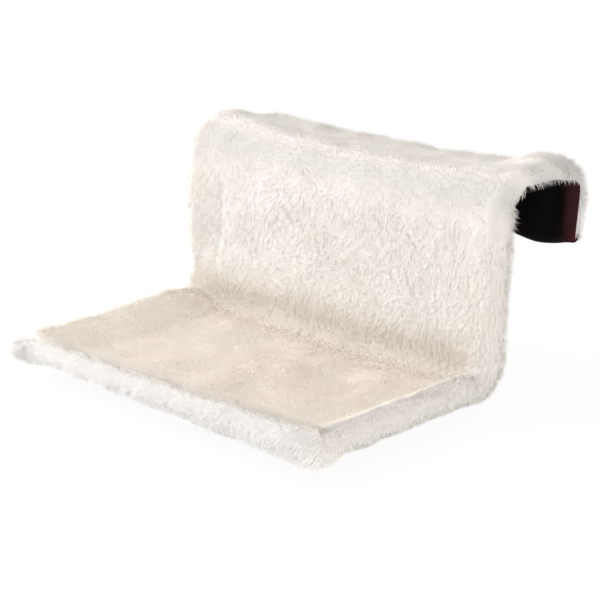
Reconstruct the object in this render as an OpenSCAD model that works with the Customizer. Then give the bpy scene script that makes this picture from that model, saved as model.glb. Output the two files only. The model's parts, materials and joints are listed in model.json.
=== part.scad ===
// A cat bed that hangs on a radiator: a bent tube frame in a plush cover, with a hook that goes
// over the radiator's top and slides out for a deeper one. Millimetres, +Z up, front towards -Y.
// All solids are drawn from the corner where the seat's and the back's centre lines meet, and
// then moved so that the bed's box stands centred on the origin.

/* [Bed] */
// Distance between the centre lines of the side tubes
bed_w = 410; // [320:5:520]
// From the front tube to the back, centre line to centre line
seat_l = 244; // [200:2:320]
// From the seat tubes up to the arms of the hook, centre line to centre line
back_h = 192; // [160:2:260]
// How far the tops of the back tubes stand behind their feet
back_lean = 8; // [2:1:20]

/* [Hook] */
// From the tops of the back tubes to the drop of the hook, centre line to centre line
hook_l = 126; // [115:1:180]
// From the arms down to the crossbar of the hook, centre line to centre line
hook_drop = 68; // [60:1:110]
// How far the crossbar is tucked in towards the radiator
hook_tuck = 6; // [2:1:16]
// How far the hook slides out for a deeper radiator
hook_travel = 20; // [14:1:22]

/* [Tubes] */
// Outer diameter of the frame's tubes
tube_d = 12; // [11:0.5:13]
// Wall of every tube
tube_wall = 1; // [0.8:0.1:1.4]
// Bend radius of the front corners
corner_r = 26; // [24:1:36]
// Bend radius between the seat and the back
rear_bend_r = 28; // [20:1:36]
// Bend radius between the back and the arms
top_bend_r = 28; // [24:1:32]
// Bend radius between the arms and the drop of the hook
hook_bend_r = 24; // [20:1:30]
// Bend radius at the lower corners of the hook
hook_corner_r = 20; // [18:1:28]
// Radial play of the parts that slide in the tubes
slide_play = 0.2; // [0.1:0.05:0.3]
// From the front tube's centre line to the joint in each side tube
seat_joint_l = 60; // [45:1:90]
// Length of the reduced ends that plug into the side tubes
spigot_l = 25; // [18:1:35]
// Height of the cross tube above the seat tubes
cross_tube_h = 42; // [36:1:60]
// Length of the plugs that close the cross tube
cross_plug_l = 12; // [8:1:20]

/* [Slide lock] */
// How much of each leg of the hook stays in its tube when the hook is fully out
hold_l = 20; // [19:1:24]
// Outer diameter of the clamp collars
collar_d = 18; // [16:0.5:19]
// Length of the clamp collars
collar_l = 12; // [10:0.5:14]
// Diameter of the threaded boss on a collar
boss_d = 10; // [8:0.5:11]
// How far the boss stands inwards from the collar
boss_h = 7; // [4:0.5:10]
// Thread diameter of the thumb screws
thumb_thread_d = 5; // [4:0.5:6]
// Diameter and length of the round part of a thumb screw's head
thumb_hub_d = 9; // [7:0.5:10]
thumb_hub_l = 6; // [4:0.5:8]
// Span of the wings on a thumb screw
wing_span = 17; // [14:0.5:18]
// Length of the wings along the screw
wing_l = 8; // [6:0.5:10]
// Thickness of the wings
wing_t = 2.4; // [1.6:0.2:3]
// Length of the sleeve of the guide bushes over the tube
bush_l = 8; // [6:0.5:10]
// Wall of the guide bushes
bush_wall = 1.2; // [0.8:0.1:1.6]
// Length of the plugs in the legs of the hook
leg_plug_l = 9; // [6:0.5:12]
// Thickness of the flange on those plugs
leg_flange_t = 1.5; // [1:0.1:2.5]

/* [Screws] */
// Diameter of the set screws in the seat joints
set_screw_d = 4; // [3:0.5:5]
// Shank diameter of the cross tube's screws
cross_screw_d = 4; // [3:0.5:4.5]
// Head diameter of the cross tube's screws
cross_head_d = 7; // [6:0.5:7.5]
// Head height of the cross tube's screws
cross_head_h = 2.4; // [1.8:0.1:3]
// How far the cross tube's screws reach into their plugs
cross_grip_l = 9; // [6:0.5:11]
// Across-flats size and depth of the hexagon sockets
socket_d = 2.5; // [2:0.1:2.8]
socket_h = 1.2; // [0.8:0.1:1.4]

/* [Plush] */
// Radius over the pile of the front roll at its left end
front_roll_left_r = 16; // [14:0.5:18]
// Radius over the pile of the front roll at its right end, where it hangs fullest
front_roll_right_r = 20; // [17:0.5:22]
// Radius over the pile of the rolls along the sides of the seat
side_roll_r = 17; // [15:0.5:20]
// Radius over the pile where a side roll is pulled thin round the rear bend
bend_roll_r = 14.5; // [12:0.5:17]
// Radius over the pile of the rolls up the back
post_roll_r = 19; // [15:0.5:20]
// Radius over the pile on top of the arms
arm_roll_r = 18; // [16:0.5:20]
// Radius over the pile down the drop of the hook
flap_roll_r = 17; // [13:0.5:18]
// How far the plush stands out past the tubes' bends at the front corners
corner_puff = 12; // [0:1:14]
// How far it stands out past the tubes' bends at the lower corners of the hook
hem_puff = 7; // [0:1:9]
// Thickness of the plush panels over the pile
panel_t = 8; // [6:0.5:10]
// Height of the seat's pile above the seat tubes, at the side rolls
seat_edge_h = 3; // [1:0.5:6]
// How far the middle of the seat sinks below its sides
seat_sag = 6; // [3:0.5:7]
// How far the back's pile stands in front of the back tubes
back_front_l = 10; // [9.5:0.5:14]
// How far the back bellies out in front of the cross tube
belly_l = 7; // [5:0.5:10]
// Thickness of the plush panel between the arms
top_t = 6; // [5:0.5:8]
// How far the top sags between the arms
top_sag = 8; // [4:0.5:9]
// Height of the flap's pile behind the hook's tube
flap_off = 13; // [12:0.5:14]
// Height of the soft folds in the seat and the back
fold_h = 1.2; // [0.4:0.1:2]

/* [Lining] */
// Thickness of the lining
lining_t = 1.2; // [0.8:0.1:1.6]
// Radius of the lower corners of the lining inside the hook
lining_corner_r = 14; // [8:1:20]
// Thickness of each half of the closure tape
tape_t = 1.5; // [1:0.1:2]
// Width of the closure tape
tape_w = 20; // [14:1:26]
// Height of the closure tape's middle above the seat tubes
tape_h = 62; // [50:1:90]

/* [Hidden] */
$fn = 64;

// Clearances
soft_gap = 0.3;         // between soft pieces, and between them and the frame
seat_gap = 0.1;         // between a coped tube end and the tube it meets
fit_gap = 0.05;         // round screws and plugs in their holes
rest_cut = 0.5;         // how deep the seat's rolls are pressed flat by what they stand on
overrun = 2;            // how far a cut runs past what it cuts
bead_l = 1;             // length of a seam bead
bead_t = 0.04;          // how far a seam bead stands proud

// Tube sizes
tube_r = tube_d / 2;
bore_r = tube_r - tube_wall;
leg_r = bore_r - slide_play;
leg_bore_r = leg_r - tube_wall;
spigot_r = bore_r - fit_gap;
spigot_bore_r = spigot_r - tube_wall;
half_w = bed_w / 2;
far = bed_w;            // longer than any section is wide

// Angles of the frame, and how far each bend reaches along its straights
lean_a = atan(back_lean / back_h);
rise_turn = 90 - lean_a;
tuck_a = atan(hook_tuck / hook_drop);
drop_turn = 90 + tuck_a;
rear_reach = rear_bend_r * tan(rise_turn / 2);
top_reach = top_bend_r * tan(rise_turn / 2);
hook_reach = hook_bend_r * tan(drop_turn / 2);
post_l = norm([back_lean, back_h]) - rear_reach - top_reach;
drop_l = norm([hook_tuck, hook_drop]) - hook_reach - hook_corner_r;
arm_y = back_lean + top_reach;                // where the arms begin
arm_end_y = back_lean + hook_l - hook_reach;  // where the hook's bends begin
stub_l = hook_travel + hold_l;                // straight tube that each leg slides in
stub_end_y = arm_y + stub_l;
leg_y = arm_y + leg_flange_t + fit_gap;       // inner ends of the hook's legs
joint_y = seat_joint_l - seat_l;

// Placement of the whole bed
tube_z = side_roll_r - rest_cut;
front_y = -seat_l - front_roll_right_r;
rear_y = arm_end_y + hook_bend_r + flap_roll_r;
place = [0, -(front_y + rear_y) / 2, tube_z];
floor_z = -tube_z;

// Slide lock
collar_y = stub_end_y - bush_l - collar_l / 2 - soft_gap;
thread_r = thumb_thread_d / 2;
boss_face_x = collar_d / 2 + boss_h;

// Lining and panels
lining_off = collar_d / 2 + soft_gap;         // from the centre lines to the near face of the lining
panel_half_w = half_w - post_roll_r - soft_gap;
seat_half_w = half_w - side_roll_r - soft_gap;
arm_inset = collar_d / 2 + soft_gap;          // how far inwards of an arm its plush is cut
top_half_w = half_w - arm_inset - soft_gap;

steel = "#8f9296";
zinc = "#c2c4c6";
black_plastic = "#26262a";
cream_pile = "#f3efe8";
beige_pile = "#e6dacb";
wine = "#4a0d17";
white_wadding = "#fafafa";

// Positions along the frame

// The back's centre line at a height above the seat tubes
function post_y(z) = back_lean * z / back_h;

// Unit vector square to the leaning back, towards the front
post_front = [-cos(lean_a), sin(lean_a)];

// Samples of a sweep: centre, sideways vector, upward vector
function along_x(xs) = [for (x = xs) [[x, -seat_l, 0], [0, -1, 0], [0, 0, 1]]];

// Points of a bend in the horizontal plane round the front corner, from angle a0 to a1, where
// 0 degrees is the side tube's end of the bend and 90 degrees is the front tube's
function front_corner(side, angles) = [
    for (a = angles)
        [
            [side * (half_w - corner_r + corner_r * cos(a)), -seat_l + corner_r - corner_r * sin(a), 0],
            [side * cos(a), -sin(a), 0],
            [0, 0, 1]
        ]
];

// Points of the side tube's line: seat, rear bend, back and top bend
function seat_line(side, ys) = [for (y = ys) [[side * half_w, y, 0], [side, 0, 0], [0, 0, 1]]];
function rear_bend_line(side, angles) = [
    for (a = angles)
        [
            [side * half_w, -rear_reach + rear_bend_r * sin(a), rear_bend_r * (1 - cos(a))],
            [side, 0, 0],
            [0, -sin(a), cos(a)]
        ]
];
function post_line(side, zs) = [
    for (z = zs) [[side * half_w, post_y(z), z], [side, 0, 0], [0, post_front[0], post_front[1]]]
];
function top_bend_line(side, angles) = [
    for (a = angles)
        [
            [side * half_w, arm_y - top_bend_r * sin(a), back_h - top_bend_r * (1 - cos(a))],
            [side, 0, 0],
            [0, -sin(a), cos(a)]
        ]
];

// Frame

// A ring, or a disc where the bore is 0
module tube_section(r, bore = 0) {
    difference() {
        circle(r = r);
        if (bore > 0) circle(r = bore);
    }
}

// Sweeps a flat section, its first child, from the origin along +Z and on by the steps: each is
// [length], or [bend radius, turn, roll of the bend's plane]. A bend curves towards the
// section's +X. The second child, a hair larger all round, is the seam bead where steps meet,
// and where a mirrored half meets its twin.
module run(steps, meets_twin = false, i = 0) {
    if (i > 0 && (i < len(steps) || meets_twin))
        translate([0, 0, -bead_l / 2]) linear_extrude(height = bead_l) children(1);
    if (i < len(steps)) {
        step = steps[i];
        if (len(step) == 1) {
            linear_extrude(height = step[0]) children(0);
            translate([0, 0, step[0]]) run(steps, meets_twin, i + 1) {
                children(0);
                children(1);
            }
        } else {
            rotate([0, 0, step[2]]) {
                translate([step[0], 0, 0]) rotate([90, 0, 180]) rotate_extrude(angle = step[1])
                    translate([step[0], 0]) mirror([1, 0]) children(0);
                translate([step[0] * (1 - cos(step[1])), 0, step[0] * sin(step[1])])
                    rotate([0, step[1], 0]) rotate([0, 0, -step[2]]) run(steps, meets_twin, i + 1) {
                        children(0);
                        children(1);
                    }
            }
        }
    }
}

// A run of round tube
module tube_run(steps, r, bore, meets_twin = false) {
    run(steps, meets_twin) {
        tube_section(r, bore);
        tube_section(r + bead_t, bore - bead_t);
    }
}

side_steps = [
    [-rear_reach - joint_y], [rear_bend_r, rise_turn, -90], [post_l],
    [top_bend_r, rise_turn, 90], [stub_l]
];
hook_half_steps = [
    [arm_end_y - leg_y], [hook_bend_r, drop_turn, 90], [drop_l],
    [hook_corner_r, 90, 180], [half_w - hook_corner_r]
];
front_half_steps = [[seat_joint_l - corner_r], [corner_r, 90, 180], [half_w - corner_r]];

module mirrored(side) mirror([side < 0 ? 1 : 0, 0, 0]) children();
module both_sides() for (side = [-1, 1]) mirrored(side) children();

// Puts its children at a point of the right-hand side tube, along an axis towards +X
module across_tube(y, z, x = 0) translate([half_w + x, y, z]) rotate([0, 90, 0]) children();

module front_tube() {
    color(steel) translate(place) difference() {
        union() {
            both_sides() translate([half_w, joint_y, 0]) rotate([90, 0, 0]) {
                tube_run(front_half_steps, tube_r, bore_r, true);
                tube_run([[tube_wall]], tube_r, spigot_bore_r);
                translate([0, 0, -spigot_l]) tube_run([[spigot_l]], spigot_r, spigot_bore_r);
            }
        }
        both_sides() across_tube(joint_y + spigot_l / 2, 0, -tube_r - overrun)
            cylinder(r = set_screw_d / 2 + fit_gap, h = tube_r + overrun);
    }
}

module side_tube(side) {
    color(steel) translate(place) mirrored(side) difference() {
        translate([half_w, joint_y, 0]) rotate([-90, 0, 0])
            tube_run(side_steps, tube_r, bore_r);
        across_tube(joint_y + spigot_l / 2, 0, -tube_r - overrun)
            cylinder(r = set_screw_d / 2 + fit_gap, h = tube_r + overrun);
        across_tube(post_y(cross_tube_h), cross_tube_h, -tube_r - overrun)
            cylinder(r = cross_screw_d / 2 + fit_gap, h = tube_r + overrun);
        across_tube(post_y(cross_tube_h), cross_tube_h)
            cylinder(r = cross_head_d / 2 + soft_gap, h = tube_r + overrun);
        across_tube(collar_y, back_h, -tube_r - overrun)
            cylinder(r = thread_r + fit_gap, h = tube_r + overrun);
    }
}
module left_side_tube() side_tube(-1);
module right_side_tube() side_tube(1);

module seat_joint_screws() {
    screw_r = set_screw_d / 2;
    outer = sqrt(tube_r * tube_r - screw_r * screw_r);
    color(zinc) translate(place) both_sides() across_tube(joint_y + spigot_l / 2, 0, -outer)
        difference() {
            cylinder(r = screw_r, h = outer - spigot_bore_r + tube_wall);
            translate([0, 0, -overrun]) cylinder(d = socket_d, h = socket_h + overrun, $fn = 6);
        }
}

module cross_tube() {
    color(steel) translate(place) difference() {
        translate([-half_w, post_y(cross_tube_h), cross_tube_h]) rotate([0, 90, 0])
            tube_run([[bed_w]], tube_r, bore_r);
        both_sides() translate([half_w, post_y(0), 0]) rotate([-lean_a, 0, 0])
            cylinder(r = tube_r + seat_gap, h = back_h);
    }
}

// The screw's head bears inside the side tube, and its shank grips a plug in the cross tube
head_bore = cross_head_d / 2;
head_x = sqrt(bore_r * bore_r - head_bore * head_bore) - fit_gap;
plug_x = tube_r + soft_gap;

module cross_tube_plugs() {
    color(black_plastic) translate(place) both_sides()
        across_tube(post_y(cross_tube_h), cross_tube_h, -plug_x - cross_plug_l) difference() {
            cylinder(r = bore_r - fit_gap, h = cross_plug_l);
            translate([0, 0, -overrun])
                cylinder(r = cross_screw_d / 2 + fit_gap, h = cross_plug_l + 2 * overrun);
        }
}

module cross_tube_screws() {
    shank_l = plug_x + cross_grip_l - head_x;
    color(zinc) translate(place) both_sides()
        across_tube(post_y(cross_tube_h), cross_tube_h, -head_x) difference() {
            union() {
                translate([0, 0, -shank_l]) cylinder(d = cross_screw_d, h = shank_l);
                cylinder(d = cross_head_d, h = cross_head_h);
            }
            translate([0, 0, cross_head_h - socket_h])
                cylinder(d = socket_d, h = socket_h + overrun, $fn = 6);
        }
}

// Slide lock

module collar(side) {
    color(zinc) translate(place) mirrored(side) difference() {
        union() {
            translate([half_w, collar_y - collar_l / 2, back_h]) rotate([-90, 0, 0])
                cylinder(d = collar_d, h = collar_l);
            across_tube(collar_y, back_h, -boss_face_x) cylinder(d = boss_d, h = boss_face_x);
        }
        translate([half_w, collar_y - collar_l / 2 - overrun, back_h]) rotate([-90, 0, 0])
            cylinder(r = tube_r + fit_gap, h = collar_l + 2 * overrun);
        across_tube(collar_y, back_h, -boss_face_x - overrun)
            cylinder(r = thread_r + fit_gap, h = boss_face_x + overrun);
    }
}
module left_collar() collar(-1);
module right_collar() collar(1);

module guide_bush(side) {
    color(black_plastic) translate(place) mirrored(side)
        translate([half_w, stub_end_y, back_h]) rotate([-90, 0, 0]) {
            translate([0, 0, -bush_l]) difference() {
                cylinder(r = tube_r + fit_gap + bush_wall, h = bush_l + bush_wall);
                translate([0, 0, -overrun]) cylinder(r = tube_r + fit_gap, h = bush_l + overrun);
                cylinder(r = leg_r + fit_gap, h = bush_l + bush_wall + overrun);
            }
        }
}
module left_guide_bush() guide_bush(-1);
module right_guide_bush() guide_bush(1);

// A thumb screw points outwards from the middle of the bed, its tip on the hook's leg
module thumb_screw(side) {
    tip_x = leg_r + seat_gap;
    thread_l = boss_face_x + seat_gap - tip_x;
    color(zinc) translate(place) mirrored(side) translate([half_w - tip_x, collar_y, back_h])
        rotate([0, -90, 0]) {
            cylinder(r = thread_r, h = thread_l);
            translate([0, 0, thread_l]) {
                cylinder(d = thumb_hub_d, h = thumb_hub_l);
                for (end = [-1, 1]) hull() {
                    wing_r = wing_l / 2;
                    translate([end * (wing_span / 2 - wing_r), wing_t / 2, thumb_hub_l + wing_r / 2])
                        rotate([90, 0, 0]) cylinder(r = wing_r, h = wing_t, $fn = 32);
                    translate([0, wing_t / 2, thumb_hub_l / 2])
                        rotate([90, 0, 0]) cylinder(r = thumb_hub_l / 2, h = wing_t, $fn = 32);
                }
            }
        }
}
module left_thumb_screw() thumb_screw(-1);
module right_thumb_screw() thumb_screw(1);

module hook_tube() {
    color(steel) translate(place)
        both_sides() translate([half_w, leg_y, back_h]) rotate([-90, 0, 0])
            tube_run(hook_half_steps, leg_r, leg_bore_r, true);
}

module leg_plugs() {
    color(black_plastic) translate(place)
        both_sides() translate([half_w, leg_y, back_h]) rotate([-90, 0, 0]) {
            translate([0, 0, -leg_flange_t]) cylinder(r = leg_r, h = leg_flange_t);
            cylinder(r = leg_bore_r - fit_gap, h = leg_plug_l - leg_flange_t);
        }
}

// Soft pieces

roll_sides = 16;

// A ring of points round a sample, puffed out on its outer side, cut off at the limits on its
// inner side and its underside, and pressed flat where the bed stands
no_limits = [far, far];
function ring(sample, r, lift = 0, limits = no_limits, puff = 0) = [
    for (k = [0:roll_sides - 1])
        let (
            a = 360 * (k + 0.5) / roll_sides,
            side = max(r * cos(a) + puff * max(cos(a), 0), -limits[0]),
            up = max(r * sin(a) + lift, -limits[1]),
            p = sample[0] + side * sample[1] + up * sample[2]
        )
        [p[0], p[1], max(p[2], floor_z)]
];

function flat(rows) = [for (row = rows) for (p = row) p];

// Two triangles for each cell of a grid of numbered points; wrap joins the last column to the first
function cells(rows, cols, base, wrap, turned) = [
    for (i = [0:rows - 2]) for (j = [0:cols - (wrap ? 1 : 2)])
        let (
            a = base + i * cols + j,
            b = base + i * cols + (j + 1) % cols,
            c = a + cols,
            d = b + cols
        )
        for (t = turned ? [[a, b, d], [a, d, c]] : [[a, d, b], [a, c, d]]) t
];

// A sleeve of plush round a tube: outer rings over the pile, and a bore that clears the tube
module sleeve(samples, radii, lifts, turned, inner_r = tube_r, limits = no_limits, puffs = []) {
    n = roll_sides;
    rows = len(samples);
    hole_r = (inner_r + soft_gap) / cos(180 / n);
    outer = [
        for (i = [0:rows - 1])
            ring(samples[i], radii[i], lifts[i], limits, i < len(puffs) ? puffs[i] : 0)
    ];
    inner = [for (i = [0:rows - 1]) ring(samples[i], hole_r)];
    base = rows * n;
    function cap(i, flip) = [
        for (j = [0:n - 1])
            let (a = i * n + j, b = i * n + (j + 1) % n, c = a + base, d = b + base)
            for (t = flip ? [[a, b, d], [a, d, c]] : [[a, d, b], [a, c, d]]) t
    ];
    polyhedron(
        points = concat(flat(outer), flat(inner)),
        faces = concat(
            cells(rows, n, 0, true, turned),
            cells(rows, n, base, true, !turned),
            cap(0, !turned),
            cap(rows - 1, turned)
        ),
        convexity = 6
    );
}

// A padded sheet between two grids of points that share their rows and columns
module quilt(upper, lower) {
    rows = len(upper);
    cols = len(upper[0]);
    base = rows * cols;
    function edge(from, step, count, flip) = [
        for (k = [0:count - 2])
            let (a = from + k * step, b = a + step, c = a + base, d = b + base)
            for (t = flip ? [[a, b, d], [a, d, c]] : [[a, d, b], [a, c, d]]) t
    ];
    polyhedron(
        points = concat(flat(upper), flat(lower)),
        faces = concat(
            cells(rows, cols, 0, false, false),
            cells(rows, cols, base, false, true),
            edge(0, 1, cols, true),
            edge(base - cols, 1, cols, false),
            edge(0, cols, rows, false),
            edge(cols - 1, cols, rows, true)
        ),
        convexity = 6
    );
}

function mix(a, b, t) = a + (b - a) * t;
function bump(d, reach) = abs(d) < reach ? (1 + cos(180 * d / reach)) / 2 : 0;

// Where the front roll meets the side rolls, as an angle of the corner, and half their parting
corner_seam_a = 45;
seam_a = 0.6;

// Angles of the rings at a front corner, and how much of the puff each has
front_corner_as = [corner_seam_a + seam_a, 60, 75];
side_corner_as = [corner_seam_a - seam_a, 30, 15];
function puff_share(a) = pow(sin(2 * a), 2);

// The front roll fills out towards its right end
front_shares = [-1, -0.75, -0.45, -0.1, 0.25, 0.55, 0.8, 0.93, 1];
function front_r(x) = mix(front_roll_left_r, front_roll_right_r, pow((x / half_w + 1) / 2, 2));

module front_roll() {
    straight_w = half_w - corner_r;
    turns = [for (k = [1:len(front_corner_as)]) front_corner_as[len(front_corner_as) - k]];
    samples = concat(
        front_corner(-1, front_corner_as),
        along_x([for (k = front_shares) k * straight_w]),
        front_corner(1, turns)
    );
    puffs = concat(
        [for (a = front_corner_as) corner_puff * puff_share(a)],
        [for (k = front_shares) 0],
        [for (a = turns) corner_puff * puff_share(a)]
    );
    radii = [for (s = samples) front_r(s[0][0])];
    // Every ring rests on the same surface, so the full end is fuller above the tube
    lifts = [for (r = radii) r - side_roll_r];
    color(cream_pile) translate(place)
        sleeve(samples, radii, lifts, true, tube_r, no_limits, puffs);
}

// Rings of a roll round a bend, close enough that its flat lengths clear the tube
bend_steps = 7;
seat_roll_shares = [0, 0.3, 0.65, 1];
module seat_roll(side) {
    y0 = -seat_l + corner_r;
    flat_line = concat(
        front_corner(side, side_corner_as),
        seat_line(side, [for (k = seat_roll_shares) mix(y0, -rear_reach, k)])
    );
    // Pulled thin half way round the bend, the pile stays on the inside of the tube
    pulls = [for (k = [1:bend_steps]) sin(180 * k / bend_steps)];
    samples = concat(
        flat_line,
        rear_bend_line(side, [for (k = [1:bend_steps]) rise_turn * k / bend_steps])
    );
    radii = concat(
        [for (s = flat_line) side_roll_r],
        [for (t = pulls) mix(side_roll_r, bend_roll_r, t)]
    );
    lifts = concat(
        [for (s = flat_line) 0],
        [for (t = pulls) (side_roll_r - bend_roll_r) * t / 2]
    );
    puffs = [for (a = side_corner_as) corner_puff * puff_share(a)];
    color(cream_pile) translate(place)
        sleeve(samples, radii, lifts, side > 0, tube_r, no_limits, puffs);
}
module left_seat_roll() seat_roll(-1);
module right_seat_roll() seat_roll(1);

post_roll_shares = [0, 0.35, 0.7, 1];
module post_roll(side) {
    z0 = rear_reach * cos(lean_a);
    z1 = back_h - top_reach * cos(lean_a);
    samples = concat(
        post_line(side, [for (k = post_roll_shares) mix(z0, z1, k)]),
        top_bend_line(side, [for (k = [bend_steps - 1:-1:0]) rise_turn * k / bend_steps])
    );
    color(cream_pile) translate(place) difference() {
        sleeve(samples, [for (s = samples) post_roll_r], [for (s = samples) 0], side > 0);
        translate([side * half_w, post_y(cross_tube_h), cross_tube_h]) rotate([0, -side * 90, 0])
            cylinder(r = tube_r + soft_gap, h = post_roll_r + overrun);
    }
}
module left_post_roll() post_roll(-1);
module right_post_roll() post_roll(1);

// Seat: pile height over the tubes' plane at shares u and v of the half width and half length
seat_u_shares = [-1, -0.94, -0.84, -0.7, -0.52, -0.34, -0.17, 0, 0.17, 0.34, 0.52, 0.7, 0.84, 0.94, 1];
seat_v_shares = [-1, -0.93, -0.82, -0.66, -0.46, -0.24, 0, 0.24, 0.46, 0.66, 0.82, 0.93, 1];
corner_pull = corner_r - side_roll_r + soft_gap;
seat_rear_y = -back_front_l + panel_t;

function seat_fill(u, v) = (1 - pow(u, 4)) * (1 - pow(v, 6));
function seat_h(u, v) =
    mix(seat_edge_h, seat_edge_h - seat_sag / 2, (v + 1) / 2)
    - seat_sag / 2 * (2 - v) * seat_fill(u, v) / 1.5
    + fold_h * seat_fill(u, v) * (sin(150 * u - 260 * v + 60) + sin(330 * u + 120 * v));
function seat_xy(u, v) =
    let (
        x = u * (seat_half_w - corner_pull * pow(abs(v), 12)),
        front = -seat_l + front_r(x) + soft_gap,
        middle = (front + seat_rear_y) / 2
    )
    [x, middle + v * ((seat_rear_y - front) / 2 - corner_pull * pow(abs(u), 12))];
function seat_grid(drop) = [
    for (v = seat_v_shares)
        [for (u = seat_u_shares) let (p = seat_xy(u, v)) [p[0], p[1], seat_h(u, v) - drop]]
];

module seat_panel() {
    color(beige_pile) translate(place) quilt(seat_grid(0), seat_grid(panel_t));
}

// The wadding fills the room between the panel and the lining
lining_z = floor_z + lining_t;
lining_top = lining_z + lining_t;
module seat_wadding() {
    top = seat_grid(panel_t + soft_gap);
    bottom_z = lining_top + soft_gap;
    color(white_wadding) translate(place)
        quilt(top, [for (row = top) [for (p = row) [p[0], p[1], min(bottom_z, p[2] - lining_t)]]]);
}

// The lining runs flat under the seat, turns up behind it and laps over the closure tape. Its
// edge stays inside the fullest roll at the height of its upper face.
lap_off = lining_off + lining_t + 2 * tape_t;
lap_turn_r = rear_bend_r / 2;
lap_reach = lap_turn_r * tan(rise_turn / 2);
lining_up = side_roll_r + lining_top;
lining_inset = soft_gap + sqrt(lining_up * (2 * front_roll_right_r - lining_up));
lining_half_w = half_w - lining_inset;

// Distances along the back from its foot
lap_foot = (lining_top + lap_off * sin(lean_a)) / cos(lean_a) + lap_reach;
tape_foot = tape_h - tape_w / 2;
lap_end = tape_h + tape_w / 2;
post_end = norm([back_lean, back_h]) - top_reach;

// Stands its children on the leaning back: +Z up along it, +Y square to it, towards the rear
module on_back() translate(place) rotate([-lean_a, 0, 0]) children();

module seat_lining() {
    corner_y = corner_r - seat_l;
    flat_end = lap_off * cos(lean_a) + lap_foot * sin(lean_a) - lap_reach * (1 + sin(lean_a));
    color(wine) translate(place) {
        translate([0, 0, lining_z]) linear_extrude(height = lining_t) {
            for (side = [-1, 1])
                translate([side * (half_w - corner_r), corner_y]) circle(r = corner_r - lining_inset);
            translate([corner_r - half_w, lining_inset - seat_l])
                square([bed_w - 2 * corner_r, corner_r]);
            translate([-lining_half_w, corner_y]) square([2 * lining_half_w, flat_end - corner_y]);
        }
        translate([0, flat_end - lining_t, lining_top]) rotate([-90, 0, 0]) rotate([0, 0, -90])
            run([[lining_t], [lap_turn_r, rise_turn, 0], [lap_end - lap_foot]]) {
                lap_section();
                lap_section(bead_t);
            }
    }
}
module lap_section(grow = 0) {
    translate([-lining_t - grow, -panel_half_w - grow])
        square([lining_t + 2 * grow, 2 * (panel_half_w + grow)]);
}

// The closure tape's two halves, on the rear of the back lining and inside the lap
module tape(off) {
    color("#1c1c1e") on_back() translate([-panel_half_w, off, tape_foot])
        cube([2 * panel_half_w, tape_t, tape_w]);
}
module closure_loop_tape() tape(lining_off + lining_t);
module closure_hook_tape() tape(lining_off + lining_t + tape_t);

// Back: samples up the middle of the tubes and round the top bend, as a point and a direction
// towards the front, each a pair of y and z
back_u_shares = [-1, -0.9, -0.75, -0.56, -0.36, -0.18, 0, 0.18, 0.36, 0.56, 0.75, 0.9, 1];
back_low_shares = [0, 0.24, 0.5, 0.76];
back_high_shares = [0, 0.12, 0.26, 0.43, 0.62, 0.81, 1];
wadding_foot = cross_tube_h + tube_r + soft_gap;
back_top_z = back_h - top_reach * cos(lean_a);
belly_reach = 40;       // how far above and below the cross tube the belly runs out
dip_reach = 30;         // how far below the arms the top's sag begins
function back_line(z) = [[post_y(z), z], post_front];
function top_bend_yz(a) =
    [[arm_y - top_bend_r * sin(a), back_h - top_bend_r * (1 - cos(a))], [-sin(a), cos(a)]];
back_high_samples = [for (k = back_high_shares) back_line(mix(wadding_foot, back_top_z, k))];
back_samples = concat(
    [for (k = back_low_shares) back_line(mix(seat_edge_h, wadding_foot, k))],
    back_high_samples,
    [for (k = [3:-1:0]) top_bend_yz(rise_turn * k / 4)]
);
function across_fill(u) = 1 - pow(abs(u), 4);
function back_off(u, z) =
    back_front_l
    + belly_l * bump(z - cross_tube_h, belly_reach)
    + fold_h * across_fill(u) * (sin(220 * u + 2 * z) + sin(140 * u - 3 * z + 70))
    - (back_front_l - top_edge_h + top_sag) * across_fill(u) * bump(z - back_h, dip_reach);
function offset_row(sample, us, half, offs) = [
    for (i = [0:len(us) - 1])
        [
            us[i] * half,
            sample[0][0] + offs[i] * sample[1][0],
            sample[0][1] + offs[i] * sample[1][1]
        ]
];
function back_grid(samples, drop) = [
    for (s = samples)
        let (offs = [for (u = back_u_shares) back_off(u, s[0][1]) - drop])
        offset_row(s, back_u_shares, panel_half_w, offs)
];

module back_panel() {
    color(cream_pile) translate(place)
        quilt(back_grid(back_samples, 0), back_grid(back_samples, panel_t));
}

// The back's wadding stands on the cross tube and fills the room between panel and lining
module back_wadding() {
    rear = [for (u = back_u_shares) soft_gap - lining_off];
    color(white_wadding) translate(place)
        quilt(
            back_grid(back_high_samples, panel_t + soft_gap),
            [for (s = back_high_samples) offset_row(s, back_u_shares, panel_half_w, rear)]
        );
}

// A run of lining on the inside of the frame's bends
module lining_section(half, grow = 0) {
    translate([lining_off - grow, -half - grow]) square([lining_t + 2 * grow, 2 * (half + grow)]);
}
module lining_run(steps, half) {
    run(steps) {
        lining_section(half);
        lining_section(half, bead_t);
    }
}

module back_lining() {
    foot = tape_foot - lining_off / 2;
    color(wine) on_back() translate([0, 0, foot]) rotate([0, 0, 90])
        lining_run([[post_end - foot], [top_bend_r, rise_turn, 0]], panel_half_w);
}

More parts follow.
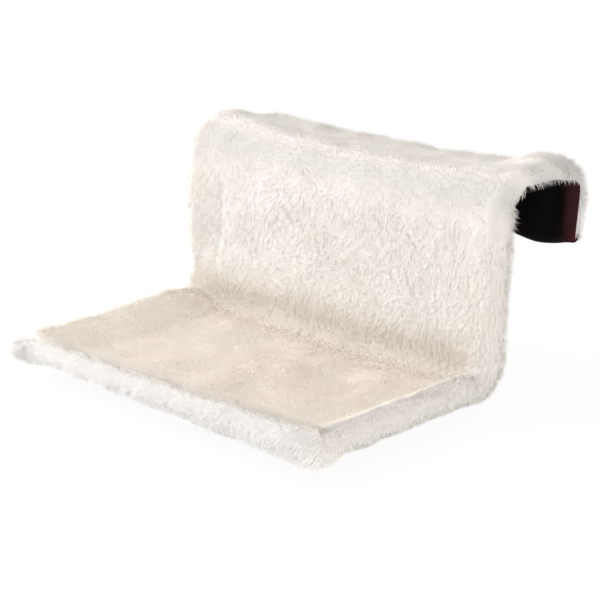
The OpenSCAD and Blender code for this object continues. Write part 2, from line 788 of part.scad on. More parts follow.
// Top: the panel between the arms clears the thumb screws, and sags inwards of them
top_edge_h = wing_span / 2 + 2 * soft_gap + top_t;
top_u_shares = [-1, -0.95, -0.9, -0.8, -0.65, -0.45, -0.22, 0, 0.22, 0.45, 0.65, 0.8, 0.9, 0.95, 1];
clear_share = 0.9;
function top_fill(u) = abs(u) > clear_share ? 0 : 1 - pow(abs(u / clear_share), 3);
function top_h(u, v) =
    top_edge_h - top_fill(u) * (top_sag - fold_h * sin(300 * u) * sin(180 * v));
function top_grid(drop) = [
    for (v = [0:0.25:1])
        let (y = mix(arm_y + soft_gap, arm_end_y - soft_gap, v))
        [for (u = top_u_shares) [u * top_half_w, y, back_h + top_h(u, v) - drop]]
];
module top_panel() {
    color(cream_pile) translate(place) quilt(top_grid(0), top_grid(top_t));
}

cover_edge = sqrt(pow(arm_roll_r, 2) - pow(lining_off, 2));
module top_lining() {
    color(wine) translate(place)
        translate([-half_w - cover_edge, arm_y + soft_gap, back_h - lining_off - lining_t])
            cube([2 * (half_w + cover_edge), arm_end_y - arm_y - 2 * soft_gap, lining_t]);
}

// Section of the plush on an arm of the hook: +X towards the radiator, +Y towards the middle
module arm_section(r, bore, grow = 0) {
    difference() {
        circle(r = r + grow);
        circle(r = bore - grow);
        translate([lining_off - soft_gap + grow, -far]) square(2 * far);
        translate([-far, arm_inset + grow]) square(2 * far);
    }
}

module arm_roll(side) {
    color(cream_pile) translate(place) mirrored(side)
        translate([half_w, arm_y + soft_gap, back_h]) rotate([-90, 0, 0]) rotate([0, 0, 90])
            run([[arm_end_y - arm_y - 2 * soft_gap]]) difference() {
                arm_section(arm_roll_r, lining_off);
                translate([-boss_d / 2 - 2 * soft_gap, 0]) square(far);
            }
}
module left_arm_roll() arm_roll(-1);
module right_arm_roll() arm_roll(1);

// Flap: round the hook's bend, down its drop and round its crossbar. Samples are a point and
// a direction away from the radiator, each a pair of y and z.
function hook_bend_yz(a) = [
    [arm_end_y + hook_bend_r * sin(a), back_h - hook_bend_r * (1 - cos(a))],
    [sin(a), cos(a)]
];
drop_start = hook_bend_yz(drop_turn);
drop_dir = [cos(drop_turn), -sin(drop_turn)];
function drop_yz(h) = [drop_start[0] + (drop_l + hook_corner_r - h) * drop_dir, drop_start[1]];
function placed(x, side_dir, yz) =
    [[x, yz[0][0], yz[0][1]], side_dir, [0, yz[1][0], yz[1][1]]];
hook_limits = [arm_inset, lining_off - soft_gap];

module flap_roll(side) {
    line = concat(
        [for (k = [0:bend_steps]) hook_bend_yz(drop_turn * k / bend_steps)],
        [drop_yz(hook_corner_r + soft_gap)]
    );
    samples = [for (yz = line) placed(side * half_w, [side, 0, 0], yz)];
    color(cream_pile) translate(place)
        sleeve(
            samples, [for (s = samples) flap_roll_r], [for (s = samples) 0],
            side > 0, leg_r, hook_limits
        );
}
module left_flap_roll() flap_roll(-1);
module right_flap_roll() flap_roll(1);

// The hem runs along the crossbar and up its two corners
hem_steps = 6;
function hem_corner(side, angles) = [
    for (a = angles)
        placed(
            side * (half_w - hook_corner_r * (1 - cos(a))),
            [side * cos(a), drop_dir[0] * sin(a), drop_dir[1] * sin(a)],
            drop_yz(hook_corner_r * (1 - sin(a)))
        )
];
module flap_hem() {
    turns = [for (k = [0:hem_steps]) 90 * k / hem_steps];
    turns_back = [for (k = [hem_steps:-1:0]) turns[k]];
    samples = concat(hem_corner(-1, turns), hem_corner(1, turns_back));
    puffs = [for (a = concat(turns, turns_back)) hem_puff * puff_share(a)];
    color(cream_pile) translate(place)
        sleeve(
            samples, [for (s = samples) flap_off], [for (s = samples) 0],
            false, leg_r, [far, hook_limits[1]], puffs
        );
}

// The lining inside the hook reaches past the tubes on its sides and below the crossbar
lining_edge = lining_off - 2 * soft_gap;
flap_lining_half_w = half_w + lining_edge;
module on_hook() translate(place) translate([0, arm_end_y, back_h]) rotate([-90, 0, 0]) children();
module at_drop_end() {
    on_hook() rotate([0, 0, 90])
        translate([hook_bend_r * (1 - cos(drop_turn)), 0, hook_bend_r * sin(drop_turn)])
            rotate([0, drop_turn, 0]) translate([0, 0, drop_l]) children();
}
module flap_lining() {
    color(wine) {
        on_hook() rotate([0, 0, 90])
            lining_run([[hook_bend_r, drop_turn, 0], [drop_l]], flap_lining_half_w);
        at_drop_end() translate([lining_off, 0, 0]) rotate([90, 0, 90])
            linear_extrude(height = lining_t) {
                foot = hook_corner_r + lining_edge - lining_corner_r;
                inner_w = flap_lining_half_w - lining_corner_r;
                for (side = [-1, 1])
                    translate([side * inner_w, foot]) circle(r = lining_corner_r);
                translate([-inner_w, -overrun])
                    square([2 * inner_w, foot + lining_corner_r + overrun]);
                translate([-flap_lining_half_w, -overrun])
                    square([2 * flap_lining_half_w, foot + overrun]);
            }
    }
}

// Rows of the flap's panel: a sample, how far it is past the bend, and its half width. The
// lower rows narrow inside the hem's corners.
flap_rows = concat(
    [for (k = [0:5]) [hook_bend_yz(drop_turn * k / 5), k / 5, top_half_w]],
    [
        [drop_yz(hook_corner_r + flap_roll_r / 2), 1, top_half_w],
        [drop_yz(hook_corner_r + soft_gap), 1, half_w - flap_off - soft_gap],
        [drop_yz(flap_off + soft_gap), 1, half_w - hook_corner_r]
    ]
);
flap_bore_r = leg_r + soft_gap;
function flap_h(u, t) = mix(top_h(u, 1), flap_off, t * t * (3 - 2 * t));
function flap_grid(share) = [
    for (row = flap_rows)
        let (
            drop = share * mix(top_t, flap_off - flap_bore_r, row[1]),
            offs = [for (u = top_u_shares) flap_h(u, row[1]) - drop]
        )
        offset_row(row[0], top_u_shares, row[2], offs)
];
module flap_panel() {
    color(cream_pile) translate(place) quilt(flap_grid(0), flap_grid(1));
}

front_tube();
left_side_tube();
right_side_tube();
seat_joint_screws();
cross_tube();
cross_tube_plugs();
cross_tube_screws();
left_collar();
right_collar();
left_guide_bush();
right_guide_bush();
left_thumb_screw();
right_thumb_screw();
hook_tube();
leg_plugs();
seat_panel();
seat_wadding();
seat_lining();
front_roll();
left_seat_roll();
right_seat_roll();
back_panel();
back_wadding();
back_lining();
left_post_roll();
right_post_roll();
top_panel();
top_lining();
left_arm_roll();
right_arm_roll();
flap_panel();
flap_lining();
flap_hem();
left_flap_roll();
right_flap_roll();
closure_loop_tape();
closure_hook_tape();
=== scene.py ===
# %% [markdown]
# # A plush cat bed that hangs on a radiator
# A bent tube frame carries a cover of long-haired plush, with a hook at the back that goes over
# the radiator. The CAD model has the frame, its screws and one plain solid for each soft piece.
# This notebook keeps the hard pieces as they are and dresses the soft ones: plush, pile, linings,
# colours, light and camera.
#
# A dressed piece rides on one of these bodies, so that it goes along when a joint moves, and it
# replaces the plain solids that it stands for. That is why nothing here is parented or keyed by
# hand.

import json
import math

import bpy
import numpy as np
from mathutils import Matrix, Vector, noise

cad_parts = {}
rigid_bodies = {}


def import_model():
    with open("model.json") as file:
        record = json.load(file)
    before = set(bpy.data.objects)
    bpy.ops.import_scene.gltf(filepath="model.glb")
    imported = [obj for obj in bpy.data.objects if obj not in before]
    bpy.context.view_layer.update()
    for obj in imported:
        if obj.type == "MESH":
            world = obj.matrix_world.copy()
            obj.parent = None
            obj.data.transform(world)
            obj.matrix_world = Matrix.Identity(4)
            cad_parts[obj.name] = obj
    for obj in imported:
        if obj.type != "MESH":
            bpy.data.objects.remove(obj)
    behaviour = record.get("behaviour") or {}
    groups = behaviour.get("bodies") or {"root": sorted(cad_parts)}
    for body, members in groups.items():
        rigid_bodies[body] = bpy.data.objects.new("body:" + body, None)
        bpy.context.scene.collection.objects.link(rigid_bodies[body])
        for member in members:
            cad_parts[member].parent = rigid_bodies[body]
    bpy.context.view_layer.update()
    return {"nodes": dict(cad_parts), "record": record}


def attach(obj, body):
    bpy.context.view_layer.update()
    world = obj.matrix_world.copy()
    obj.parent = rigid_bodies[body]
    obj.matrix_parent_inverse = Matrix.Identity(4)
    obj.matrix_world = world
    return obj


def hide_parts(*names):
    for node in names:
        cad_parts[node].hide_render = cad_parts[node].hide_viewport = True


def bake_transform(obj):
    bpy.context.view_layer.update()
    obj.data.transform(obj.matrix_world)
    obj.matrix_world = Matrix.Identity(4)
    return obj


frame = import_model()

# %% [markdown]
# ## Sizes
# On the real bed every seam follows a tube, so the plush is drawn from the tubes' centre lines.
# It could also be drawn by eye over the CAD solids, but then it would drift away from them. These
# are the driving sizes of the CAD source, in millimetres. They are measured from the corner where
# the centre lines of the seat and of the back meet, because each tube is easy to describe there.

# %% The frame's sizes
HALF_W = 205.0  # from the middle to a side tube
SEAT_L = 244.0  # from the front tube to the back
BACK_H = 192.0  # from the seat up to the arms
LEAN = 8.0  # how far the tops of the back's tubes stand behind their feet
HOOK_L = 126.0  # from the back's top to the drop of the hook
DROP = 68.0  # from the arms down to the hook's crossbar
TUCK = 6.0  # how far the crossbar is tucked in towards the radiator
CORNER_R = 26.0  # bend radii: front corners,
REAR_R = 28.0  # seat into back,
TOP_R = 28.0  # back into arms,
HOOK_R = 24.0  # arms into the hook's drop,
LOW_R = 20.0  # and the hook's lower corners
FRONT_FULL_R, HOOK_PLUSH_R = 20.0, 17.0  # plush and all, round the front and the hook
FLOOR = -16.5  # height of the ground that the bed stands on

lean_a = math.atan(LEAN / BACK_H)
rise = math.pi / 2 - lean_a  # the turn from the seat up into the back
drop_turn = math.pi / 2 + math.atan(TUCK / DROP)  # and from the arms down into the drop
rear_reach = REAR_R * math.tan(rise / 2)
top_reach = TOP_R * math.tan(rise / 2)
hook_reach = HOOK_R * math.tan(drop_turn / 2)
arm_y = LEAN + top_reach
arm_end = LEAN + HOOK_L - hook_reach
drop_l = math.hypot(TUCK, DROP) - hook_reach - LOW_R
print("arms from y", round(arm_y, 1), "to", round(arm_end, 1), "drop", round(drop_l, 1))

# %% [markdown]
# ## From the drawing corner to the row's frame
# The scene is in metres, with the object centred on its own foot. Blender could move each
# finished object, but a mesh that is born in the right place needs no transform, and transforms
# that are forgotten are a common fault in exports. So one function places all points.

# %% Placing points
MM = 1000.0  # millimetres in a metre
PLACE_Y = (SEAT_L + FRONT_FULL_R - arm_end - HOOK_R - HOOK_PLUSH_R) / 2
PLACE_Z = -FLOOR
UP = np.array([0.0, 0.0, 1.0])


def world(points):
    """Millimetres from the drawing corner to metres in the row's frame."""
    p = np.asarray(points, float)
    return (p + np.array([0.0, PLACE_Y, PLACE_Z])) / MM


print("drawing corner at", world([0, 0, 0]))

# %% [markdown]
# ## Small tools for soft shapes
# Plush has no sharp changes. A few tools make all the soft ones here: `smooth` passes from 0 to 1
# without a kink, `bump` is a single round hill, `lumps` is noise that never jumps, and `along`
# keeps the part of a direction that runs along a surface.

# %% Soft steps, hills and noise
LUMP_GAIN = 1.6  # Blender's noise reaches only about 0.6
SEED_STEP = 17.3  # how far apart two seeds lie in the noise


def unit(v):
    return v / np.maximum(np.linalg.norm(v, axis=-1, keepdims=True), 1e-12)


def along(v, N):
    """The part of v that runs along the surface with the normals N."""
    return v - N * (v * N).sum(-1, keepdims=True)


def smooth(t):
    t = np.clip(t, 0.0, 1.0)
    return t * t * (3 - 2 * t)


def bump(d, reach):
    return np.where(np.abs(d) < reach, (1 + np.cos(np.pi * d / reach)) / 2, 0.0)


def lumps(p, size, seed):
    """Soft noise at points in millimetres, about -1 to 1; size is the width of a lump."""
    q = p.reshape(-1, 3) / size + seed * SEED_STEP
    out = np.array([noise.noise(Vector(x)) for x in q])
    return out.reshape(p.shape[:-1]) * LUMP_GAIN


def uneven(p, layers):
    """Lumps of several sizes, each a width, a height and a seed."""
    return sum(lumps(p, wide, seed) * high for wide, high, seed in layers)


print("half way:", float(smooth(0.5)), "hill's side:", float(bump(5.0, 10.0)))

# %% [markdown]
# ## Meshes from grids
# Each piece of cloth is a grid of points: rows along one direction, columns across. A grid could
# be built with `from_pydata`, but a quarter of a million hairs would then pass through Python
# lists. `foreach_set` hands whole NumPy arrays over at once and takes a fraction of the time.
#
# A corner list decides which way a face looks. Faces that look inwards turn dark as soon as a
# mesh carries its own normals, so each solid below says whether its grid has to be flipped.

# %% Arrays into a mesh
def mesh_object(name, verts, corners, sizes, uv=None):
    """An object from points, the corners of all faces in a row, and each face's corner count."""
    me = bpy.data.meshes.new(name)
    me.vertices.add(len(verts))
    me.vertices.foreach_set("co", np.asarray(verts, np.float32).ravel())
    me.loops.add(len(corners))
    me.loops.foreach_set("vertex_index", np.asarray(corners, np.int32))
    me.polygons.add(len(sizes))
    starts = np.concatenate([[0], np.cumsum(sizes)[:-1]])
    me.polygons.foreach_set("loop_start", starts.astype(np.int32))
    me.update(calc_edges=True)
    if uv is not None:
        me.uv_layers.new(name="OFBake").data.foreach_set("uv", np.asarray(uv, np.float32).ravel())
    me.polygons.foreach_set("use_smooth", np.full(len(sizes), True))
    obj = bpy.data.objects.new(name, me)
    bpy.context.scene.collection.objects.link(obj)
    return obj


def normals_of(P):
    """Normals of a grid of points, by the way its rows and columns run."""
    return unit(np.cross(np.gradient(P, axis=1), np.gradient(P, axis=0)))


print("mesh tools ready")


# %% Grids into closed solids
def quads(rows, cols, base=0, wrap=False, flip=False):
    """The faces of a grid; wrap joins its last column to its first."""
    steps = np.arange(cols if wrap else cols - 1)
    i, j = np.meshgrid(np.arange(rows - 1), steps, indexing="ij")
    a = base + i * cols + j
    b = base + i * cols + (j + 1) % cols
    q = np.stack([a, b, b + cols, a + cols], -1).reshape(-1, 4)
    return q[:, ::-1] if flip else q


def closed_sheet(name, upper, lower, flip=False):
    """A closed solid between two grids that share their rows and columns."""
    rows, cols = upper.shape[:2]
    base = rows * cols
    rim = np.concatenate([
        np.arange(cols), np.arange(1, rows) * cols + cols - 1,
        base - 2 - np.arange(cols - 1), np.arange(rows - 2, 0, -1) * cols,
    ])
    after = np.roll(rim, -1)
    edge = np.stack([rim, rim + base, after + base, after], -1)
    faces = np.concatenate([quads(rows, cols), quads(rows, cols, base, flip=True), edge])
    if flip:
        faces = faces[:, ::-1]
    verts = world(np.concatenate([upper.reshape(-1, 3), lower.reshape(-1, 3)]))
    return mesh_object(name, verts, faces.ravel(), np.full(len(faces), 4))


def closed_tube(name, rings, flip=False):
    """A closed solid from rings of points, its ends capped."""
    rows, cols = rings.shape[:2]
    faces = quads(rows, cols, wrap=True, flip=flip)
    caps = [np.arange(cols)[::-1], (rows - 1) * cols + np.arange(cols)]
    if flip:
        caps = [c[::-1] for c in caps]
    corners = np.concatenate([faces.ravel(), *caps])
    sizes = np.concatenate([np.full(len(faces), 4), [cols, cols]])
    return mesh_object(name, world(rings.reshape(-1, 3)), corners, sizes)


print("3 by 4 points make", len(quads(3, 4)), "faces, wrapped", len(quads(3, 4, wrap=True)))


# %% [markdown]
# ## The line of the side tube
# From the foot of the back each side tube goes up the post, round the top bend, along the arm and
# down the hook. Cover and lining follow this one line, at a distance. Blender's curve objects
# could hold it, but the rows of cloth need a point and an outward direction at any length along
# it, and that is quicker to work out directly. Lengths along the line are called s.

# %% Lengths along the line
POST_L = math.hypot(LEAN, BACK_H) - top_reach
TOP_ARC = TOP_R * rise
HOOK_ARC = HOOK_R * drop_turn
S_TOP = POST_L + TOP_ARC  # where the top bend ends
S_ARM = S_TOP + arm_end - arm_y  # where the arm ends
S_BEND = S_ARM + HOOK_ARC  # where the drop begins
S_END = S_BEND + drop_l + LOW_R  # the crossbar
print("line: post", round(POST_L), "top", round(S_TOP), "arm", round(S_ARM),
      "bend", round(S_BEND), "end", round(S_END))


# %% Points of the line
def rail_yz(s):
    """Point (y, z) and outward direction of the line at s."""
    if s < POST_L:
        d = np.array([math.sin(lean_a), math.cos(lean_a)])
        return d * s, np.array([-d[1], d[0]])
    s -= POST_L
    if s < TOP_ARC:
        a = rise - s / TOP_R
        out = np.array([-math.sin(a), math.cos(a)])
        return np.array([arm_y - TOP_R * math.sin(a), BACK_H - TOP_R * (1 - math.cos(a))]), out
    s -= TOP_ARC
    if s < arm_end - arm_y:
        return np.array([arm_y + s, BACK_H]), np.array([0.0, 1.0])
    s -= arm_end - arm_y
    a = min(s / HOOK_R, drop_turn)
    out = np.array([math.sin(a), math.cos(a)])
    point = np.array([arm_end + HOOK_R * math.sin(a), BACK_H - HOOK_R * (1 - math.cos(a))])
    if s >= HOOK_ARC:
        point = point + np.array([math.cos(a), -math.sin(a)]) * (s - HOOK_ARC)
    return point, out


print("crossbar at", rail_yz(S_END)[0].round(1))

# %% [markdown]
# ## The pile
# Long-haired plush is a knitted back with hairs of 8 to 10 mm that lean one way and stick
# together in tufts. Blender offers hair curves and particle hair, which render well but are lost
# when a model is exported as a mesh. A bumpy material is light, but its outline stays bald. Here
# each hair is a narrow ribbon of five points, part of one mesh per piece of cloth, so it shows in
# the outline, bends with the cloth and exports as it is.
#
# The first step is where hairs stand. A Poisson draw for each cell of the grid, by its area, gives
# an even density whatever the cells' size. The generator is seeded, so each run grows the same
# coat.

# %% Roots of the hairs
def scatter(P, density, thin, rng):
    """Roots at random over a grid: the row and column of the cell, and the place inside it."""
    a, b, c, d = P[:-1, :-1], P[:-1, 1:], P[1:, 1:], P[1:, :-1]
    area = 0.5 * np.linalg.norm(np.cross(c - a, d - b), axis=-1)
    want = area * density
    if thin is not None:
        want = want * 0.25 * (thin[:-1, :-1] + thin[:-1, 1:] + thin[1:, 1:] + thin[1:, :-1])
    count = rng.poisson(want)
    i, j = np.unravel_index(np.repeat(np.arange(area.size), count.ravel()), area.shape)
    return i, j, rng.random((len(i), 1)), rng.random((len(i), 1))


def at(G, roots):
    """The values of a grid at the roots."""
    i, j, u, v = roots
    return ((G[i, j] * (1 - u) + G[i, j + 1] * u) * (1 - v)
            + (G[i + 1, j] * (1 - u) + G[i + 1, j + 1] * u) * v)


patch = np.stack([*np.meshgrid([0.0, 5.0, 10.0], [0.0, 5.0, 10.0]), np.zeros((3, 3))], -1)
print(len(scatter(patch, 0.6, None, np.random.default_rng(0))[0]), "hairs on a square centimetre")


# %% [markdown]
# Hairs that all lean alike look like a brush, and hairs that lean at random look like wire. Real
# plush is between: a common lie with slow waves in it, and tufts whose tips meet. The tufts are
# found by rounding each root to a cell and then moving each tip part of the way to the mean tip
# of its cell.

# %% Waves and tufts
WAVE = 34.0  # width of the waves in the lie
WAVE_SHARE = 0.12  # how much they turn it
TUFT = 6.0  # width of a tuft
TUFT_WANDER, WANDER = 0.35, 3.1  # how much, and how fast, the borders of the tufts wander
TUFT_PULL = 0.08  # how far a tip goes to its tuft's own, at most
MIDDLE_PULL = 0.3  # and what share of that its middle goes


def tufted(root, middle, tip, rng):
    """Middles and tips of the hairs after each tuft has drawn together."""
    key = np.floor(root / TUFT + TUFT_WANDER * np.sin(root[:, ::-1] / WANDER)).astype(int)
    _, tuft = np.unique(key, axis=0, return_inverse=True)
    tuft = tuft.ravel()
    count = tuft.max() + 1
    total = np.bincount(tuft, minlength=count)[:, None]
    shared = np.stack([np.bincount(tuft, tip[:, k], count) for k in range(3)], -1) / total
    shared = shared + rng.normal(size=(count, 3))
    shift = (shared[tuft] - tip) * (TUFT_PULL * rng.random((len(tip), 1)))
    return middle + MIDDLE_PULL * shift, tip + shift


def down(N, weight=1.0, extra=(0.0, 0.0, 0.0)):
    """The way pile hangs on a surface: gravity and an extra pull, laid along the surface."""
    return along(np.zeros_like(N) + np.array([0.0, 0.0, -weight]) + np.array(extra), N)


print("on a wall the pile hangs by", down(np.array([0.0, -1.0, 0.0])))


# %% [markdown]
# Each ribbon is a quad with a triangle on top. It also gets a place in a picture map, at its
# root's
# place on the cloth: a hair has one colour, and all hairs share one map.

# %% Faces and picture points of the ribbons
MARGIN = 0.01  # of the picture, left free all round
SPECK = 0.0015  # half the width of a hair in the picture


def ribbon_faces(n):
    """A quad and a triangle for each hair of five points."""
    base = np.arange(n)[:, None] * 5
    quad = base + np.array([0, 1, 2, 3])
    tri = base + np.array([3, 2, 4])
    return (np.concatenate([quad.ravel(), tri.ravel()]),
            np.concatenate([np.full(n, 4), np.full(n, 3)]))


def ribbon_uv(P, roots):
    i, j, u, v = roots
    spot = np.stack([(j + u[:, 0]) / (P.shape[1] - 1), (i + v[:, 0]) / (P.shape[0] - 1)], -1)
    spot = MARGIN + (1 - 2 * MARGIN) * spot
    quad = spot[:, None] + SPECK * np.array([[-1, -1], [1, -1], [1, 0], [-1, 0]])
    tri = spot[:, None] + SPECK * np.array([[-1, 0], [1, 0], [0, 1]])
    return np.concatenate([quad.reshape(-1, 2), tri.reshape(-1, 2)])


print("two hairs have", len(ribbon_faces(2)[1]), "faces")


# %% [markdown]
# Lit by their own faces, ribbons glitter: some turn to the lamp and some away. In real plush light
# scatters from hair to hair, and the coat is lit nearly as the cloth under it would be. Custom
# normals do the same: nine tenths the cloth's normal and one tenth the ribbon's own. Where two
# pieces meet at a seam, `light_n` can bend the cloth's share so that no dark groove is left.

# %% Growing the pile on a grid
HAIR_WIDTH, TAPER = 0.6, 0.8  # at the root, and the middle's share of it
SOFT = 0.9  # the cloth's share in a hair's normal
RIBBON_TURN = 0.18  # how far ribbons roll about their own length
LEAST, MORE, STRAY_L = 0.80, 0.20, 0.06  # share of the full length, evenly and at random
SHORTEST, LONGEST = 0.4, 1.3
LEAN_LOW = 0.55  # how far the lower half leans the way the pile lies
STAND_HIGH, LEAN_HIGH, FLAT_HIGH = 0.42, 0.85, 0.25  # how the upper half stands and leans
STRAY_HIGH = 1.2  # the upper half strays more than the lower one


def grow(name, P, N, comb, density, length, body, seed, spread=0.15,
         thin=None, blend=None, short=None, light_n=None):
    """Hairs on a grid with points P and normals N; comb is the way they lie."""
    rng = np.random.default_rng(seed)
    roots = scatter(P, density, thin, rng)
    n = len(roots[0])
    waves = np.stack([lumps(P, WAVE, seed + k) for k in (1, 2, 3)], -1)
    root, nor = at(P, roots), unit(at(N, roots))
    lay = at(comb + WAVE_SHARE * along(waves, N), roots)
    flat = unit(along(lay, nor))
    stray = spread * rng.normal(size=(n, 3))
    share = LEAST + MORE * rng.random((n, 1)) + STRAY_L * rng.normal(size=(n, 1))
    half_l = length * np.clip(share, SHORTEST, LONGEST) / 2
    if short is not None:
        half_l = half_l * at(short[..., None], roots)
    # A hair rises from the cloth and then bends over the way it lies
    rising = unit(nor + LEAN_LOW * lay + stray)
    bent = unit(STAND_HIGH * nor + LEAN_HIGH * lay + FLAT_HIGH * flat + STRAY_HIGH * stray)
    middle = root + rising * half_l
    middle, tip = tufted(root, middle, middle + bent * half_l, rng)
    # The flat of each ribbon looks away from the cloth, rolled a little at random
    side = np.cross(flat, nor)
    turn = rng.normal(size=(n, 1)) * RIBBON_TURN
    across = unit(side * np.cos(turn) + np.cross(rising, side) * np.sin(turn))
    half = across * HAIR_WIDTH / 2
    waist = half * TAPER
    V = np.stack([root - half, root + half, middle + waist, middle - waist, tip], 1)
    obj = mesh_object(name, world(V.reshape(-1, 3)), *ribbon_faces(n), ribbon_uv(P, roots))
    low, high = unit(np.cross(across, rising)), unit(np.cross(across, bent))
    shown = nor if light_n is None else unit(at(light_n, roots))
    lit = [unit(SOFT * shown + (1 - SOFT) * own)
           for own in (low, low, 0.5 * (low + high), 0.5 * (low + high), high)]
    obj.data.normals_split_custom_set_from_vertices(np.stack(lit, 1).reshape(-1, 3))
    if blend:
        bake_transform(obj)
    else:
        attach(obj, body)
    print(name, n, "hairs")
    return obj


# %% [markdown]
# ## Rolls round the seat
# Three padded rolls hide the front tube and the side tubes. A roll could be a curve object with a
# bevel, but the real ones swell towards the right, bulge out past the tube's corner and lie on
# the ground. So rings of points are swept along the tube, and radius, lift and bulge may vary
# from ring to ring. A roll's path is three arrays: points, outward directions, upward directions.

# %% Rings round a path
RING_POINTS = 40
FULL_ABOVE, FULL_BELOW = 0.5, 0.35  # powers of the bulge: the smaller, the fuller


def per_ring(size, path):
    """One number, or one for each ring, ready to act on rings of points."""
    return np.broadcast_to(size, len(path))[:, None, None]


def sweep(path, sideways, upward, radius, lift=0.0, puff=0.0):
    """Rings round a path; puff is how far they bulge on their outer side."""
    a = np.linspace(0, 2 * np.pi, RING_POINTS, endpoint=False)
    fullness = np.maximum(np.cos(a), 0.0) ** np.where(a > np.pi, FULL_BELOW, FULL_ABOVE)
    radius = per_ring(radius, path)
    outer = radius * np.cos(a)[None, :, None] + per_ring(puff, path) * fullness[None, :, None]
    upper = radius * np.sin(a)[None, :, None] + per_ring(lift, path)
    return path[:, None] + outer * sideways[:, None] + upper * upward[:, None]


def fit_ends(size, count=4):
    """Rounds off the ends of a roll."""
    out = size.copy()
    k = np.sqrt(1 - (1 - (np.arange(count) + 0.35) / count) ** 2)
    out[:count] *= k
    out[-count:] *= k[::-1]
    return out


print("a roll's end:", fit_ends(np.ones(9))[:4].round(2))


# %% The paths of the rolls
# Angles in degrees round a corner, 0 sideways and 90 ahead, and the number of rings
LEFT_TURN, RIGHT_TURN, SIDE_TURN = (12, 88, 15), (88, 24, 13), (56, 4, 10)
FRONT_RINGS, SIDE_RINGS = 60, 34


def turn_angles(turn):
    return np.radians(np.linspace(*turn))


def corner(sgn, a):
    """Point and outward direction of the tube in a front corner; at 0 it looks sideways."""
    return ([sgn * (HALF_W - CORNER_R + CORNER_R * math.cos(a)),
             -SEAT_L + CORNER_R - CORNER_R * math.sin(a), 0],
            [sgn * math.cos(a), -math.sin(a), 0])


def front_path():
    """Round the left corner, along the front, round the right corner."""
    straight = HALF_W - CORNER_R
    steps = [corner(-1, a) for a in turn_angles(LEFT_TURN)]
    steps += [([x, -SEAT_L, 0], [0, -1, 0]) for x in np.linspace(-straight, straight, FRONT_RINGS)]
    steps += [corner(1, a) for a in turn_angles(RIGHT_TURN)]
    pts, side = (np.array(part) for part in zip(*steps))
    return pts, side, np.tile(UP, (len(pts), 1))


def side_path(sgn):
    """Along one side of the seat and half way round the rear bend."""
    steps = [(*corner(sgn, a), [0, 0, 1]) for a in turn_angles(SIDE_TURN)]
    steps += [([sgn * HALF_W, y, 0], [sgn, 0, 0], [0, 0, 1])
              for y in np.linspace(-SEAT_L + CORNER_R, -rear_reach, SIDE_RINGS)]
    steps += [([sgn * HALF_W, -rear_reach + REAR_R * math.sin(a), REAR_R * (1 - math.cos(a))],
               [sgn, 0, 0], [0, -math.sin(a), math.cos(a)])
              for a in np.linspace(0, rise, 13)[1:8]]
    return tuple(np.array(part) for part in zip(*steps))


print("rings:", len(front_path()[0]), "in front,", len(side_path(1)[0]), "on each side")


# %% [markdown]
# The body of a roll is drawn thinner than the roll looks, because its pile stands out from it.
# Towards the seat the roll's surface turns away from the lamps and would draw a dark line round
# the seat. The pile of the real seat and roll run into each other there, so the normals on that
# side are turned up, to take the same light as the seat does.

# %% One roll and its pile
PILE = 6.0  # how much of a plush radius is pile
ROLL_HAIR, ROLL_DENSITY = 9.0, 0.6
GROUND_THIN = 0.5  # the pile's density where a roll lies on the ground
UNDER_SHORT = 0.45  # what the pile's length loses on the under side
ON_GROUND = 5.0  # a roll's surface rests on the ground where it is nearer to it than this
ROLL_HANG = 0.8  # how much the pile hangs, before it is combed
# Where a mask starts and how softly it grows, as parts of a normal
INNER_FROM, INNER_OVER = 0.3, 0.5
UNDER_FROM, UNDER_OVER = 0.2, 0.6


def roll(name, path, radius, node, seed, flip, comb_extra, lift, puff, tilt=0.25):
    pts, side, up = path
    rings = sweep(pts, side, up, radius - PILE, lift=lift, puff=puff)
    out = unit(rings - pts[:, None])
    rings = rings + out * uneven(rings, ((26.0, 1.3, seed), (11.0, 0.6, seed + 1)))[..., None]
    body = closed_tube(name, rings, flip)
    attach(body, "bed")
    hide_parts(node)
    closed = np.concatenate([rings, rings[:, :1]], 1)
    N = unit(closed - (pts[:, None] + per_ring(lift, pts) * up[:, None]))
    outward = (N * side[:, None]).sum(-1, keepdims=True)
    inner_side = (smooth((INNER_FROM - outward) / INNER_OVER)
                  * smooth((N[..., 2:] + INNER_FROM) / INNER_OVER))
    light_n = unit(N * (1 - inner_side) + (UP + tilt * side[:, None]) * inner_side)
    body.data.normals_split_custom_set_from_vertices(light_n[:, :-1].reshape(-1, 3))
    thin = np.where(closed[..., 2] < FLOOR + ON_GROUND, GROUND_THIN, 1.0)
    short = 1 - UNDER_SHORT * smooth((-N[..., 2] - UNDER_FROM) / UNDER_OVER)
    print(name, "rings from", rings[..., 2].min().round(1), "to", rings[..., 2].max().round(1))
    grow(name + "_pile", closed, N, down(N, ROLL_HANG, comb_extra), ROLL_DENSITY, ROLL_HAIR,
         "bed", seed + 50, thin=thin, light_n=light_n, short=short)


# %% [markdown]
# ## The front roll
# In the photograph the front roll swells towards the right corner, and at the left end it dips to
# the ground. Both are lengths along x, so they are written as shares of the width, `xs`.

# %% Front roll
CORNER_PUFF, LEFT_PUFF = 15.0, 3.5  # past the tube's bend, and more at the left
FRONT_R, FRONT_SWELL = 16.0, 4.5  # at the left end, and what the right end has more
LEFT_DIP, DIP_SHARE = 3.5, 0.12
SIDE_R = 17.0  # radius of the side rolls, which lie on the same ground


def corner_puff(path):
    """How far the plush bulges past the bend of the tube, most half way round it."""
    pts, side = path[:2]
    return (CORNER_PUFF + LEFT_PUFF * (pts[:, 0] < 0)) * (2 * side[:, 0] * side[:, 1]) ** 2


